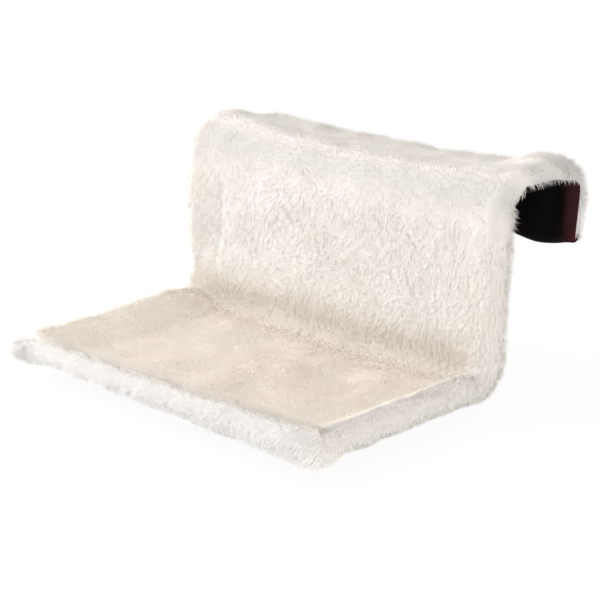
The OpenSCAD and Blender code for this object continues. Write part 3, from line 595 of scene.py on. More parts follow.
fp = front_path()
xs = (fp[0][:, 0] / HALF_W + 1) / 2
front_r = FRONT_R + FRONT_SWELL * np.clip(xs, 0, 1) ** 2
front_lift = front_r - SIDE_R - LEFT_DIP * smooth((DIP_SHARE - xs) / DIP_SHARE)
roll("front_plush", fp, fit_ends(front_r), "front_roll", 3, True, comb_extra=(0.0, -0.7, 0.0),
     lift=front_lift, puff=fit_ends(corner_puff(fp)), tilt=0.3)

# %% [markdown]
# ## The side rolls
# They run from the front corners along the seat and turn up into the back, where the cover's own
# rolls take over. Their last rings are thinner, so that they slip under the cover as a sewn end
# does. The left one carries a hump in the middle of its length, seen in the photograph's outline.

# %% Side rolls
TUCKED_IN = 3.0  # how much thinner a side roll ends
HUMP, HUMP_Y, HUMP_REACH = 5.5, -66.0, 90.0

for sgn, word in ((-1, "left"), (1, "right")):
    sp = side_path(sgn)
    n = len(sp[0])
    side_r = SIDE_R - TUCKED_IN * smooth((np.arange(n) - n + 9) / 8.0)
    hump = HUMP * (sgn < 0) * bump(sp[0][:, 1] - HUMP_Y, HUMP_REACH)
    roll(f"{word}_seat_plush", sp, fit_ends(side_r), f"{word}_seat_roll", 5 + sgn, sgn > 0,
         comb_extra=(0.7 * sgn, -0.2, 0.0), lift=hump, puff=fit_ends(corner_puff(sp)))

# %% [markdown]
# ## The seat
# The seat is a quilted pad between the rolls: hollow in the middle, where a cat lies, and rising
# at its edges to meet them. A cloth simulation would find such a shape by itself, but the heights
# of the edges are known from the photograph, so they are written down: a crown over the whole
# pad, and a rise along the left, right and front edges.

# %% Form of the seat
SEAT_IN = 3.5  # the pad ends this far inside the side tubes
front_edge, rear_edge = -SEAT_L + 1.5, 2.0
LEFT_RISE, LEFT_REACH = 12.0, 55.0
RIGHT_RISE, RIGHT_REACH = 9.5, 30.0
FRONT_RISE, FRONT_MORE, FRONT_REACH = 10.0, 9.0, 44.0  # more at the right, as the roll swells
EDGE_Z, FALL_BACK = 1.5, 2.4  # height of the pad's edges, and how much lower it is behind
HOLLOW = 2.3  # how deep the middle lies behind, and three times that in front
SEAT_LUMPS = ((60.0, 1.6, 4), (22.0, 0.8, 9))

columns = np.linspace(-1, 1, 96)
uu, vv = np.meshgrid(columns, np.linspace(-1, 1, 64))
sx = uu * (HALF_W - SEAT_IN)
sy = front_edge + (vv + 1) / 2 * (rear_edge - front_edge)
fill = (1 - uu ** 4) * (1 - vv ** 6)  # 1 in the middle, 0 at the edges
sz = EDGE_Z - FALL_BACK * (vv + 1) / 2 - HOLLOW * (2 - vv) * fill

left_rise = LEFT_RISE + HUMP * bump(sy - HUMP_Y, HUMP_REACH)
front_rise = FRONT_RISE + FRONT_MORE * ((sx / HALF_W + 1) / 2) ** 2
edge_rise = np.maximum.reduce([
    left_rise * (1 - smooth((sx - sx.min()) / LEFT_REACH)),
    RIGHT_RISE * (1 - smooth((sx.max() - sx) / RIGHT_REACH)),
    front_rise * (1 - smooth((sy - front_edge) / FRONT_REACH)),
])
sz = sz + edge_rise
sz = sz + fill * uneven(np.stack([sx, sy, sz], -1), SEAT_LUMPS)
seat_top = np.stack([sx, sy, sz], -1)
print("seat from", sz.min().round(1), "to", sz.max().round(1))

# %% The pad
PAD_GROUND, PAD_FILL = 3.0, 0.4  # above the ground; how firmly it is filled

seat_low = seat_top.copy()
seat_low[..., 2] = FLOOR + PAD_GROUND
seat = closed_sheet("seat_plush", seat_top, seat_low)
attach(seat, "bed")
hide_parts("seat_panel", "seat_wadding")
print("seat faces", len(seat.data.polygons))

# %% [markdown]
# The seat's pile lies forwards and is swept about where a cat has turned. At the edges it is worn
# shorter. There its normals are turned up too, so that the rise meets the rolls without a shade.
# The pile comes in two pieces because the export works best on pieces of a moderate size.

# %% Pile of the seat
SEAT_HAIR, SEAT_DENSITY, SEAT_SPREAD = 7.5, 0.8, 0.11
SWEPT = 80.0  # width of the swept patches
LIE_X, LIE_Y = (0.15, 0.16), (-0.8, 0.14)  # the pile's lie: an even part, and how much it wanders
EDGE_SHORT = 0.3  # what the pile's length loses at the edges

sn = normals_of(seat_top)
swirl = np.stack([LIE_X[0] + LIE_X[1] * lumps(seat_top, SWEPT, 21),
                  LIE_Y[0] + LIE_Y[1] * lumps(seat_top, SWEPT, 31), 0 * sz], -1)
seat_short = 1 - EDGE_SHORT * smooth(edge_rise / 8.0)
seat_light = sn + UP * smooth(edge_rise / 6.0)[..., None]
half = columns.searchsorted(0.0)
for word, cut, seed in (("left", np.s_[:, :half + 1], 71), ("right", np.s_[:, half:], 72)):
    grow(f"seat_pile_{word}", seat_top[cut], sn[cut], swirl[cut], SEAT_DENSITY, SEAT_HAIR, "bed",
         seed, spread=SEAT_SPREAD, light_n=seat_light[cut], short=seat_short[cut])

# %% [markdown]
# ## The cover of the back, the top and the hook
# One piece of plush starts at the seat, goes up the back, over the arms and down the outside of
# the hook, and wraps round the tubes at both sides. It is drawn as rows across the bed. A row
# starts on the inner side of the left tube, goes round it, crosses the panel and goes round the
# right tube. The rows are closer together where the line bends.

# %% Rows of the cover
FILLET = 26.0  # how softly the back's foot turns forward into the seat
FOOT_LOW, LAST_LOW = 2.5, 7.0  # how far its turn, and its last row, lie below the line's start
fillet_turns = np.radians(np.linspace(0, 90, 11))
fillet_rows = FILLET * (1 - np.cos(fillet_turns)) - FOOT_LOW
ss = np.concatenate([
    [-LAST_LOW], fillet_rows, np.linspace(FILLET - FOOT_LOW, POST_L, 36)[1:],
    np.linspace(POST_L, S_TOP, 14)[1:], np.linspace(S_TOP, S_ARM, 16)[1:],
    np.linspace(S_ARM, S_BEND, 13)[1:], np.linspace(S_BEND, S_END, 9)[1:],
])
wraps = np.radians(np.linspace(0, 66, 9)[1:])  # the last rows turn in under the crossbar
print(len(ss), "rows and", len(wraps), "round the crossbar")

# %% [markdown]
# Across a row the rolls pass into the panel in a soft crease. An exponential does this well: it
# leaves the roll steeply and settles on the panel without ever kinking. The panel itself is full
# low down in the back, hollow between the arms, and even on the flap.

# %% One row, flat: x and the distance off the line
EASE = math.radians(62)  # how steeply the rolls pass into the panel
SUNK = PILE * 0.8  # how much of the pile's depth the panels leave to it
ROLL_COLS, PANEL_COLS = 22, 74
# Radius of the rolls with their pile, and what it loses over the arms, the hook and the drop
POST_R, TOP_LESS, FLAP_LESS, DROP_LESS = 19.0, 1.0, 1.0, 1.5
FOOT_THIN = 0.2  # how much thinner the rolls are at their feet
# Degrees that the plush goes on round the inner side: along the arms, and more up the posts
ARM_TAIL, POST_TAIL = 6, 144
# How far the panels stand off the line, pile and all
BACK_OUT, BELLY, TOP_OUT, TOP_HOLLOW, LOW_OUT = 10.0, 6.5, 15.5, 9.0, 13.0
BELLY_Z, BELLY_REACH = 38, 52
DENTS = ((-169.0, 9.0, 3.2), (176.0, 10.0, 0.8))  # beside the posts: x, reach and depth
POST_PINCH, TOP_PINCH, PINCH_Z, PINCH_REACH = 5.5, 2.0, 46, 30  # how the left roll is drawn in


def hills(x, places):
    """The sum of round hills, each a place, a reach and a height."""
    return sum(high * bump(x - place, reach) for place, reach, high in places)


def row_form(s, height, k_top, k_flap):
    """x of a row's points, how far they stand off the line, and where its panel begins."""
    k_low = float(smooth((s - S_ARM - 12) / 25.0))
    thick = (1 - FOOT_THIN) + FOOT_THIN * float(smooth((s + LAST_LOW) / FILLET))
    R = (POST_R - TOP_LESS * k_top - FLAP_LESS * k_flap - DROP_LESS * k_low - PILE) * thick
    # Up the posts the plush goes right round the tube, along the arms only over it
    tail = math.radians(ARM_TAIL + POST_TAIL * (1 - smooth((s - S_TOP + 16) / 16.0)))
    phi = np.linspace(-tail, math.pi - EASE, ROLL_COLS)
    roll_x, roll_n = -HALF_W - R * np.cos(phi), R * np.sin(phi)
    start, crease = roll_x[-1], R * math.sin(math.pi - EASE)
    panel_x = np.linspace(start, -start, PANEL_COLS)[1:-1]
    back_n = BACK_OUT + BELLY * float(bump(height - BELLY_Z, BELLY_REACH)) - SUNK
    top_n = TOP_OUT - TOP_HOLLOW * (1 - np.abs(panel_x / abs(start)) ** 3) - SUNK
    settled = (back_n * (1 - k_top)
               + (top_n * (1 - k_flap) + (LOW_OUT - SUNK) * k_flap) * k_top)
    to_edge = np.minimum(panel_x - start, -start - panel_x)
    ease = np.maximum((crease - settled) * math.tan(EASE), 5.0)
    panel_n = crease + (settled - crease) * (1 - np.exp(-to_edge / ease))
    on_back = (1 - k_top) * float(smooth((height - 36) / 24.0) * smooth((150 - height) / 30.0))
    panel_n = panel_n - on_back * hills(panel_x, DENTS)
    x = np.concatenate([roll_x, panel_x, -roll_x[::-1]])
    n = np.concatenate([roll_n, panel_n, roll_n[::-1]])
    pinch = (POST_PINCH * (1 - k_top) * float(bump(height - PINCH_Z, PINCH_REACH))
             + TOP_PINCH * k_top * (1 - k_flap))
    x = x + np.where(x < -HALF_W, pinch, 0.0) * np.minimum((-HALF_W - x) / 8.0, 1.0)
    return x, n, start


print("a row has", len(row_form(100.0, 100.0, 0.0, 0.0)[0]), "points")


# %% [markdown]
# Cloth between two tubes sags, and the two sides of a used bed never match. The crest line of the
# photograph gives the amounts: along the arms the cloth hangs a little, over the hook it rises
# again at the right. At the foot the rolls follow the tubes round the rear bend, while the panel
# between them turns forward into the seat.

# %% Sag, and the turn at the foot
ARM_SAG, ARM_SAG_FAR = 2.5, 2.5
HOOK_SAG, HOOK_SAG_FAR = 5.0, 4.0
HOOK_WAVES = ((178.0, 42.0, -7.5), (45.0, 45.0, 3.5), (-130.0, 40.0, -2.5))  # up is negative
LAST_AHEAD = 12.0  # how far the last row of the panel goes on under the seat's plush


def row_sag(s, x, far):
    """How far the cover hangs below its even form over the arms and the hook."""
    over_arms = ARM_SAG * smooth((197.0 - x) / 40.0) + ARM_SAG_FAR * far
    over_hook = HOOK_SAG + HOOK_SAG_FAR * far + hills(x, HOOK_WAVES)
    on_hook = float(smooth((s - S_ARM + 30) / 30.0))
    begins = float(smooth((s - S_TOP - 12) / 40.0))
    ends = 1 - float(smooth((s - S_ARM - 16) / 26.0))
    return (over_arms * (1 - on_hook) + over_hook * on_hook) * begins * ends


def turn_foot(s, x, y, z, n, start):
    """A low row, with its rolls laid round the rear bend and its panel turned forward."""
    foot = rear_reach * math.cos(lean_a)
    if s >= foot:
        return y, z
    a = rise * max(s, 0.0) / foot
    on_panel = smooth((abs(start) - np.abs(x)) / 30.0)
    roll_y = -rear_reach + REAR_R * math.sin(a) - n * math.sin(a)
    roll_z = REAR_R * (1 - math.cos(a)) + n * math.cos(a)
    up = min(max((s + FOOT_LOW) / FILLET, 0.0), 1.0)
    forward = FILLET * (1 - math.sin(math.acos(1 - up))) + (LAST_AHEAD if s == -LAST_LOW else 0.0)
    return (roll_y * (1 - on_panel) + (y - forward) * on_panel,
            roll_z * (1 - on_panel) + z * on_panel)


print("sag in the middle of the hook:", row_sag(S_ARM, np.zeros(1), np.zeros(1)).round(1))


# %% All rows
FAR_BULGE = 6.5  # how far the left post's roll leans out
FAR_CORNER = 5.0  # how much higher the far corner of the top is
LEAST_OUT = 2.0  # what the plush keeps outside the crossbar at least


def cover_row(s, wrap=0.0):
    """One row across the cover; wrap turns it in under the crossbar."""
    c, out = rail_yz(min(s, S_END - 1e-6))
    k_top = smooth((s - POST_L + 10) / (S_TOP - POST_L))
    k_flap = smooth((s - S_ARM) / (S_BEND - S_ARM))
    x, n, start = row_form(s, c[1], k_top, k_flap)
    if wrap:
        n = np.minimum(np.maximum(n, LEAST_OUT), LOW_OUT - SUNK)
        under = np.array([math.cos(drop_turn), -math.sin(drop_turn)])
        out = out * math.cos(wrap) + under * math.sin(wrap)
    far = smooth((-x - 40.0) / 130.0) * (1 - k_flap)
    bulge = FAR_BULGE * float(smooth((s - 30.0) / 50.0) * (1 - smooth((s - S_TOP - 20.0) / 50.0)))
    x = x - bulge * np.clip((-x - HALF_W + 10.0) / 10.0, 0.0, 1.0)
    lifted = far * FAR_CORNER * float(bump(s - S_TOP - 10, 50))
    y, z = turn_foot(s, x, c[0] + n * out[0], c[1] + n * out[1] + lifted - row_sag(s, x, far),
                     n, start)
    return np.stack([x, y, z], -1)


cover = np.array([cover_row(s) for s in ss] + [cover_row(S_END, w) for w in wraps])
print("cover", cover.shape, "points")

# %% [markdown]
# The lower corners of the hook are round, so the flap's rows get narrower towards its end. After
# that two sizes of noise make the cloth uneven. The finished grid becomes a closed skin of 3 mm,
# the thickness of the knitted back.

# %% The skin
SQUARE_R = 17.0  # radius of the plush at the lower corners of the hook
DROP_ROWS = 9  # rows on the hook's drop, before the ones round the crossbar
SKIN = 3.0
COVER_LUMPS = ((55.0, 1.2, 2), (20.0, 0.9, 6))
GIVE_START, GIVE_END = -12.0, 2.0  # two places on the arms, from the arms' ends; only printed and passed on

h_above = cover[..., 2] - rail_yz(S_END)[0][1]
down_in = np.clip(SQUARE_R - (h_above + LOW_OUT), 0.0, SQUARE_R)
narrow = 1.0 - (SQUARE_R - np.sqrt(SQUARE_R ** 2 - down_in ** 2)) / (HALF_W + LOW_OUT)
cover[len(ss) - DROP_ROWS:, :, 0] *= narrow[len(ss) - DROP_ROWS:]
cover = cover + normals_of(cover) * uneven(cover, COVER_LUMPS)[..., None]
cn = normals_of(cover)

skin = closed_sheet("back_and_hook_plush", cover, cover - cn * SKIN)
START = tuple(world([0.0, arm_end + GIVE_START, BACK_H]))
END = tuple(world([0.0, arm_end + GIVE_END, BACK_H]))
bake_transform(skin)
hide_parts("back_panel", "back_wadding", "left_post_roll", "right_post_roll", "top_panel",
            "left_arm_roll", "right_arm_roll", "flap_panel", "left_flap_roll", "right_flap_roll",
            "flap_hem")
print("the skin gives between y", round(START[1], 3), "and", round(END[1], 3), "m")


# %% [markdown]


# %% [markdown]
# ## Pile of the cover
# On the back the pile hangs, on the top it is pressed forwards, and at the foot it is pushed
# towards the seat. It is shorter on the top, along the arms' edges and at the flap's end. Where
# the top bend looks up, the normals lean forward, because the ground of the plush shows there
# and takes the light of the front.

# %% Lie of the cover's pile
HANG, HANG_OUT = 0.6, (0.0, -0.45, 0.0)  # the pull of gravity, and of a hand that strokes it
TOP_LAY, FOOT_LAY = np.array([0.0, -0.8, 0.0]), np.array([0.15, -0.45, 0.0])
FOOT_Z, SOFTLY = 6.0, 30.0  # where the foot's lie ends, and over how many millimetres

line = np.concatenate([ss, np.full(len(wraps), S_END)])  # s of every row
cols = cover.shape[1]
past_post = smooth((line - POST_L) / SOFTLY)
laid = past_post * (1 - smooth((line - S_TOP - 45) / SOFTLY))
at_foot = 1 - smooth((cover[..., 2:] - FOOT_Z) / SOFTLY)
comb = (down(cn, HANG, HANG_OUT) + along(TOP_LAY * laid[:, None, None] + 0 * cn, cn)
        + at_foot * along(FOOT_LAY + 0 * cn, cn))
print("lying forward on", int((laid > 0.5).sum()), "rows")

# %% Length and light of the cover's pile
COVER_HAIR = 9.0
EDGE_LEFT, HEM_LEFT = 0.6, 0.35  # what is left of the length at the arms' edges and the hem
PRESSED = 0.45  # what it loses on the top
FADE = 12.0  # over how many rows or columns
LIGHT_LEAN = np.array([0.0, -0.45, 0.0])

from_edge = np.minimum(np.arange(cols), np.arange(cols)[::-1])
edge_short = EDGE_LEFT + (1 - EDGE_LEFT) * smooth(from_edge / FADE)
on_arms = smooth((line - POST_L) / (S_TOP - POST_L))[:, None]
pressed = smooth((line - POST_L + 25) / SOFTLY) * smooth((S_ARM + 10 - line) / SOFTLY)
to_hem = np.arange(len(cover))[::-1]
short = 1 - on_arms * (1 - edge_short[None, :])
short = short * (1 - PRESSED * pressed)[:, None]
short = short * (HEM_LEFT + (1 - HEM_LEFT) * smooth(to_hem / FADE))[:, None]

lean_out = (1 - smooth((line - S_TOP - 25) / 45.0))[:, None, None]
cover_light = cn + LIGHT_LEAN * lean_out * past_post[:, None, None]
print("pile from", round(COVER_HAIR * short.min(), 1), "to", round(COVER_HAIR * short.max(), 1))

# %% [markdown]
# The coat is cut into four pieces. Neighbours share a row, so no bald line shows. Only the piece
# on the top crosses the sliding joint; like the skin, it keeps its place and rides on no body.

# %% Pile of the cover, piece by piece
COAT_DENSITY, FLAP_DENSITY = 0.70, 0.45
top_start = 45  # last row of the back
flap_start = len(ss) - DROP_ROWS - 12  # last row of the arms
mid = cols // 2
coat = (
    ("back_pile_left", "bed", np.s_[:top_start + 1, :mid + 1], COAT_DENSITY),
    ("back_pile_right", "bed", np.s_[:top_start + 1, mid:], COAT_DENSITY),
    ("top_pile", "bed", np.s_[top_start:flap_start + 1], COAT_DENSITY),
    ("flap_pile", "hook", np.s_[flap_start:], FLAP_DENSITY),
)
for k, (name, body, cut, density) in enumerate(coat):
    joined = ("bed", "hook", START, END) if name == "top_pile" else None
    grow(name, cover[cut], cn[cut], comb[cut], density, COVER_HAIR, body, 90 + k, blend=joined,
         short=short[cut], light_n=cover_light[cut])

# %% [markdown]
# ## Fringes
# Where the cover ends over the lining, and up the sides of the posts, loose hairs hang past the
# edge. They are a few columns of the same grid with a comb that points down, and they break the
# straight edge that would otherwise give away a sheet.


# %% Fringes of the edges
def rows_between(start, end):
    return slice(int(np.searchsorted(line, start)), int(np.searchsorted(line, end)))


EDGE_COLS, EDGE_DENSITY, EDGE_SPREAD = 4, 0.5, 0.3
POST_COLS, POST_DENSITY, POST_SPREAD, POST_HAIR = (7, 13), 0.16, 0.35, 11.0
POST_LIE = np.array([0.25, 0.3, -0.9])  # outwards, backwards and mostly down
ARM_ROWS = 24  # of the edge's rows, those that ride on the bed

edge_rows = rows_between(POST_L + 12, S_BEND + 8)
for word, edge_cols in (("left", slice(0, EDGE_COLS)), ("right", slice(cols - EDGE_COLS, cols))):
    P, N = cover[edge_rows, edge_cols], cn[edge_rows, edge_cols]
    for k, (part, body, cut) in enumerate((("arm", "bed", slice(0, ARM_ROWS + 1)),
                                           ("bend", "hook", slice(ARM_ROWS, len(P))))):
        grow(f"{word}_{part}_fringe", P[cut], N[cut], -UP + 0 * N[cut], EDGE_DENSITY, COVER_HAIR,
             body, 120 + k, spread=EDGE_SPREAD)

post_rows = rows_between(POST_L - 75, POST_L + 14)
near, far = POST_COLS
for sgn, word, post_cols in ((-1, "left", slice(near, far)),
                             (1, "right", slice(cols - far, cols - near))):
    P, N = cover[post_rows, post_cols], cn[post_rows, post_cols]
    grow(f"{word}_post_fringe", P, N, POST_LIE * [sgn, 1, 1] + 0 * N, POST_DENSITY, POST_HAIR,
         "bed", 130, spread=POST_SPREAD)

# %% [markdown]
# ## The lining inside the hook
# A dark red velour lines the hook and goes on behind the back. It is stretched flat between the
# tubes and gathered in upright folds on the inside of the flap, where the photograph shows them.
# A fold is a sine in the distance off the line. A second sine inside the first makes the folds'
# widths differ, as gathers do.

# %% Rows of the lining
UNDER = 10.9  # how far the lining lies inside the frame's line
LINING_FOOT = 9.0  # how far it goes round the crossbar
LINING_W = 181.0  # half its width behind the back
HEM_R = 3.0  # radius of its lower corners
LINING_START = 46  # where it starts, up the back
MID_COLS = 120
FOLD, DRIFT, DRIFT_BY = 6.1, 37.0, 1.6  # the folds' width, and how slowly and how much it drifts
RETURN, RETURN_TOP, RETURN_FLAP = 6.0, 6.0, -3.0  # how far it goes under the tubes
GATHER, GATHER_MORE = 0.9, 1.3  # how deep the folds are, and how much deeper at the flap's ends
HEM_UP, HEM_DOWN = 2.5, 4.5  # how far its end rises at the corners and drops beside them
ls = np.concatenate([
    np.linspace(LINING_START, POST_L, 16), np.linspace(POST_L, S_TOP, 12)[1:],
    np.linspace(S_TOP, S_ARM, 8)[1:], np.linspace(S_ARM, S_BEND, 13)[1:],
    np.linspace(S_BEND, S_END, 8)[1:],
])
foot_turns = np.radians(np.linspace(0, 150, 14)[1:])
edge_turns = np.radians(np.linspace(0, 84, 9)[1:])


def lining_folds(s, x, foot_turn, half_w):
    """Upright folds, -1 to 1, on the flap and fading out round the crossbar."""
    wave = np.sin(x / FOLD + DRIFT_BY * np.sin(x / DRIFT))
    return (wave * smooth((s - S_ARM + 8) / 30.0) * max(1 - foot_turn / 1.6, 0.0)
            * smooth((half_w - np.abs(x)) / 6.0 + 1.0))


def lining_row(s, foot_turn=0.0):
    """Across the lining: flat between the tubes, then round the under side of each."""
    c, d = rail_yz(min(s + LINING_FOOT * math.sin(foot_turn), S_END + LINING_FOOT))
    k_top = smooth((s - POST_L - 5) / (S_TOP - POST_L))
    k_flap = smooth((s - S_ARM) / (S_BEND - S_ARM))
    half_w = LINING_W + (HALF_W - LINING_W) * k_top
    reach = RETURN + RETURN_TOP * k_top + RETURN_FLAP * k_flap
    deep = UNDER * math.cos(foot_turn)
    to_end = S_END - s + LINING_FOOT - LINING_FOOT * math.sin(foot_turn)
    inset = HEM_R - math.sqrt(HEM_R ** 2 - min(max(HEM_R - to_end, 0.0), 2.8) ** 2)
    flat_x = np.linspace(-(half_w - inset), half_w - inset, MID_COLS)
    side_x = half_w - inset + reach * np.sin(edge_turns)
    side_n = -deep * (1 - k_top * (1 - np.cos(edge_turns)))
    x = np.concatenate([-side_x[::-1], flat_x, side_x])
    n = np.concatenate([side_n[::-1], np.full(MID_COLS, -deep), side_n])
    gather = GATHER + GATHER_MORE * k_flap * smooth((np.abs(x) - 150.0) / 40.0)
    n = n - gather * (1 + lining_folds(s, x, foot_turn, half_w)) * math.cos(foot_turn / 2)
    low = smooth((s - S_BEND + 10) / (S_END - S_BEND))
    hem = low * (HEM_UP * smooth((np.abs(x) - 190.0) / 24.0)
                 - HEM_DOWN * bump(np.abs(x) - 168.0, 40.0))
    return np.stack([x, c[0] + n * d[0], c[1] + n * d[1] + hem], -1)


# %% The lining
CLOTH = 1.0  # thickness of the linings

lining = np.array([lining_row(s) for s in ls] + [lining_row(S_END, t) for t in foot_turns])
# Its right side looks away from the plush, so the thickness goes the other way
inner_lining = closed_sheet("inner_lining", lining, lining + normals_of(lining) * CLOTH, flip=True)
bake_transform(inner_lining)
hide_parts("back_lining", "top_lining", "flap_lining")

# %% [markdown]
# ## The cloth under the seat
# The same velour closes the seat from below and turns up behind it, to end under the lining of
# the back. Its side line is straight, then a quarter turn, then straight again.

# %% Under the seat and up behind it
TURN_R, TURN_UP = 14.0, 68.0
SEAT_CLOTH_W, BEHIND_W = 194.0, 187.0  # half widths below the seat and behind the back
low_z, turn_y = FLOOR + 1.3, -1.0

below = [(y, low_z) for y in np.linspace(-SEAT_L + 12, turn_y, 30)]
below += [(turn_y + TURN_R * math.sin(a), low_z + TURN_R * (1 - math.cos(a)))
          for a in np.linspace(0, rise, 10)[1:]]
upwards = np.array([math.sin(lean_a), math.cos(lean_a)])
below += [tuple(np.array(below[-1]) + upwards * t) for t in np.linspace(0, TURN_UP, 10)[1:]]
share = np.linspace(-1, 1, 60)
under_seat = np.array([
    np.stack([share * (SEAT_CLOTH_W if z < FLOOR + 3 else BEHIND_W),
              np.full(60, y), np.full(60, z)], -1) for y, z in below])
seat_lining = closed_sheet("seat_lining_cloth", under_seat,
                           under_seat + normals_of(under_seat) * CLOTH, flip=True)
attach(seat_lining, "bed")
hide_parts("seat_lining")

# %% [markdown]
# ## Shader maths
# A material is a graph of nodes, and long sums of masks are hard to read as nodes and links. The
# class `Value` wraps the output of a node and overloads the operators, so that `1 - mask` or
# `a * b` adds the Math nodes by itself. All other nodes come from `Graph.node`, which sets a
# node's own settings first, because they can change its sockets, and then fills the sockets.

# %% Values and graphs
class Value:
    """The output of a node, to be used in sums and products like a number."""

    def __init__(self, graph, socket):
        self.graph, self.socket = graph, socket

    def __getitem__(self, output):
        return Value(self.graph, self.socket.node.outputs[output])

    def math(self, operation, first, second):
        return self.graph.node("ShaderNodeMath", {"operation": operation}, {0: first, 1: second})

    def __add__(self, other):
        return self.math("ADD", self, other)

    def __sub__(self, other):
        return self.math("SUBTRACT", self, other)

    def __rsub__(self, other):
        return self.math("SUBTRACT", other, self)

    def __mul__(self, other):
        return self.math("MULTIPLY", self, other)

    __radd__, __rmul__ = __add__, __mul__


class Graph:
    """The nodes of one material, or of the world."""

    def __init__(self, owner):
        owner.use_nodes = True
        self.tree = owner.node_tree
        self.tree.nodes.clear()

    def node(self, kind, settings=None, sockets=None):
        """Adds a node; a socket takes a plain value or the output of another node."""
        made = self.tree.nodes.new(kind)
        for key, setting in (settings or {}).items():
            setattr(made, key, setting)
        for key, value in (sockets or {}).items():
            if isinstance(value, Value):
                self.tree.links.new(value.socket, made.inputs[key])
            else:
                made.inputs[key].default_value = value
        return Value(self, made.outputs[0]) if made.outputs else None

    def ramp(self, value, start, end):
        """0 at start and 1 at end, softly."""
        rising = start < end
        return self.node("ShaderNodeMapRange", {"interpolation_type": "SMOOTHSTEP"}, {
            "Value": value, "From Min": min(start, end), "From Max": max(start, end),
            "To Min": 0.0 if rising else 1.0, "To Max": 1.0 if rising else 0.0})

    def blended(self, factor, first, second):
        """From the first colour to the second; colours go through Mix, as Math turns them grey."""
        return self.node("ShaderNodeMix", {"data_type": "RGBA"},
                         {0: factor, 6: first, 7: second})[2]

    def place(self):
        """The place on the object, in metres: a vector and its three parts."""
        spot = self.node("ShaderNodeTexCoord")["Object"]
        parts = self.node("ShaderNodeSeparateXYZ", None, {"Vector": spot})
        return spot, parts[0], parts[1], parts[2]


def material(name):
    made = bpy.data.materials.new(name)
    return made, Graph(made)


def rgba(colour, factor=1.0):
    return (*[part * factor for part in colour], 1)


print("half red:", rgba((1, 0, 0), 0.5))

# %% [markdown]
# ## The plush
# Pile takes light from both sides: it scatters some back and lets some through. Half a Diffuse and
# half a Translucent shader give that softness, and cost far less than a subsurface shader on a
# quarter of a million ribbons. Half and half also makes a hair look the same from both its sides.
#
# The colour is pale with slow and fine patches of a second tone. The cream plush has three more
# tones, each behind a mask of its place on the bed: sandy low down inside the bed, painted darker
# there as shade where the back and the rolls meet the seat; a cooler white on the front roll,
# painted darker as shade against the key light; and painted shade on the top bend and on the
# right arm's outer side.

# %% Tones of the plush
PALE, PALE_LOW = (0.955, 0.935, 0.91), (0.93, 0.90, 0.86)
SAND, SAND_LOW = (0.975, 0.94, 0.893), (0.955, 0.912, 0.855)
SAND_AND_SHADE = (0.91, 0.87, 0.815)  # sandy low inside the bed, with painted shade where it meets the seat
FRONT_WHITE_AND_SHADE = (0.885, 0.873, 0.857)  # the front roll: a cooler white, painted darker as shade against the key light
PAINTED_SHADE_GREY = (0.848, 0.828, 0.803)  # painted shade on the top bend and on the right arm's outer side
THROUGH = 0.5  # how much of the light goes through the hairs
SLOW_PATCHES, FINE_PATCHES, LESS = 1.6, 0.5, 0.55  # how strong each is, less an even part


def pile_tone(g, spot, light, dark, amount, scale):
    """Two tones in slow patches and fine ones."""
    slow = g.node("ShaderNodeTexNoise", None,
                  {"Vector": spot, "Scale": scale, "Detail": 3.0, "Roughness": 0.55})
    fine = g.node("ShaderNodeTexNoise", None, {"Vector": spot, "Scale": 140.0, "Detail": 2.0})
    patches = slow * SLOW_PATCHES + fine * FINE_PATCHES - LESS
    return g.blended(patches * amount, rgba(light), rgba(dark))


def pile_shader(g, colour):
    back = g.node("ShaderNodeBsdfDiffuse", None, {"Color": colour, "Roughness": 0.6})
    through = g.node("ShaderNodeBsdfTranslucent", None, {"Color": colour})
    both = g.node("ShaderNodeMixShader", None, {0: THROUGH, 1: back, 2: through})
    g.node("ShaderNodeOutputMaterial", None, {"Surface": both})


print("brightest tone", max(PALE + SAND), "darkest", min(PAINTED_SHADE_GREY + SAND_AND_SHADE))


# %% Cream plush
# Where each mask is 0 and where it is 1, in metres
SAND_SHADE_LEFT, SAND_SHADE_RIGHT = (-0.222, -0.205), (0.203, 0.185)
SAND_SHADE_FRONT, SAND_SHADE_UP = (-0.19, -0.172), (0.075, 0.036)
WHITE_Y, WHITE_X = (-0.182, -0.194), (0.228, 0.20)
BEND_SHADE_Z, BEND_SHADE_Y = (0.168, 0.198), (0.088, 0.068)
RIGHT_X, RIGHT_Y, RIGHT_SHARE = (0.185, 0.20), (0.09, 0.11), 0.7  # where the painted shade lies on the right arm's outer side

cream, g = material("cream_plush")
spot, x, y, z = g.place()
colour = pile_tone(g, spot, PALE, PALE_LOW, 0.8, 9.0)
# Sandy tone low inside the bed, painted darker as shade where the back and the rolls meet the seat
inside = (g.ramp(x, *SAND_SHADE_LEFT) * g.ramp(x, *SAND_SHADE_RIGHT)
          * g.ramp(y, *SAND_SHADE_FRONT) * g.ramp(z, *SAND_SHADE_UP))
colour = g.blended(inside, colour, rgba(SAND_AND_SHADE))
# The front roll: a cooler white, painted darker as shade to hold down the key light on it
ahead = g.ramp(y, *WHITE_Y) * g.ramp(x, *WHITE_X)
colour = g.blended(ahead, colour, rgba(FRONT_WHITE_AND_SHADE))
# Painted shade on the top bend and on the right arm's outer side
top_bend = g.ramp(z, *BEND_SHADE_Z) * g.ramp(y, *BEND_SHADE_Y)
right_arm = g.ramp(x, *RIGHT_X) * g.ramp(y, *RIGHT_Y) * RIGHT_SHARE
colour = g.blended(top_bend + right_arm, colour, rgba(PAINTED_SHADE_GREY))
pile_shader(g, colour)
print(cream.name, len(g.tree.nodes), "nodes")

# %% Beige plush
beige, g = material("beige_plush")
pile_shader(g, pile_tone(g, g.place()[0], SAND, SAND_LOW, 1.0, 7.0))
print(beige.name, len(g.tree.nodes), "nodes")
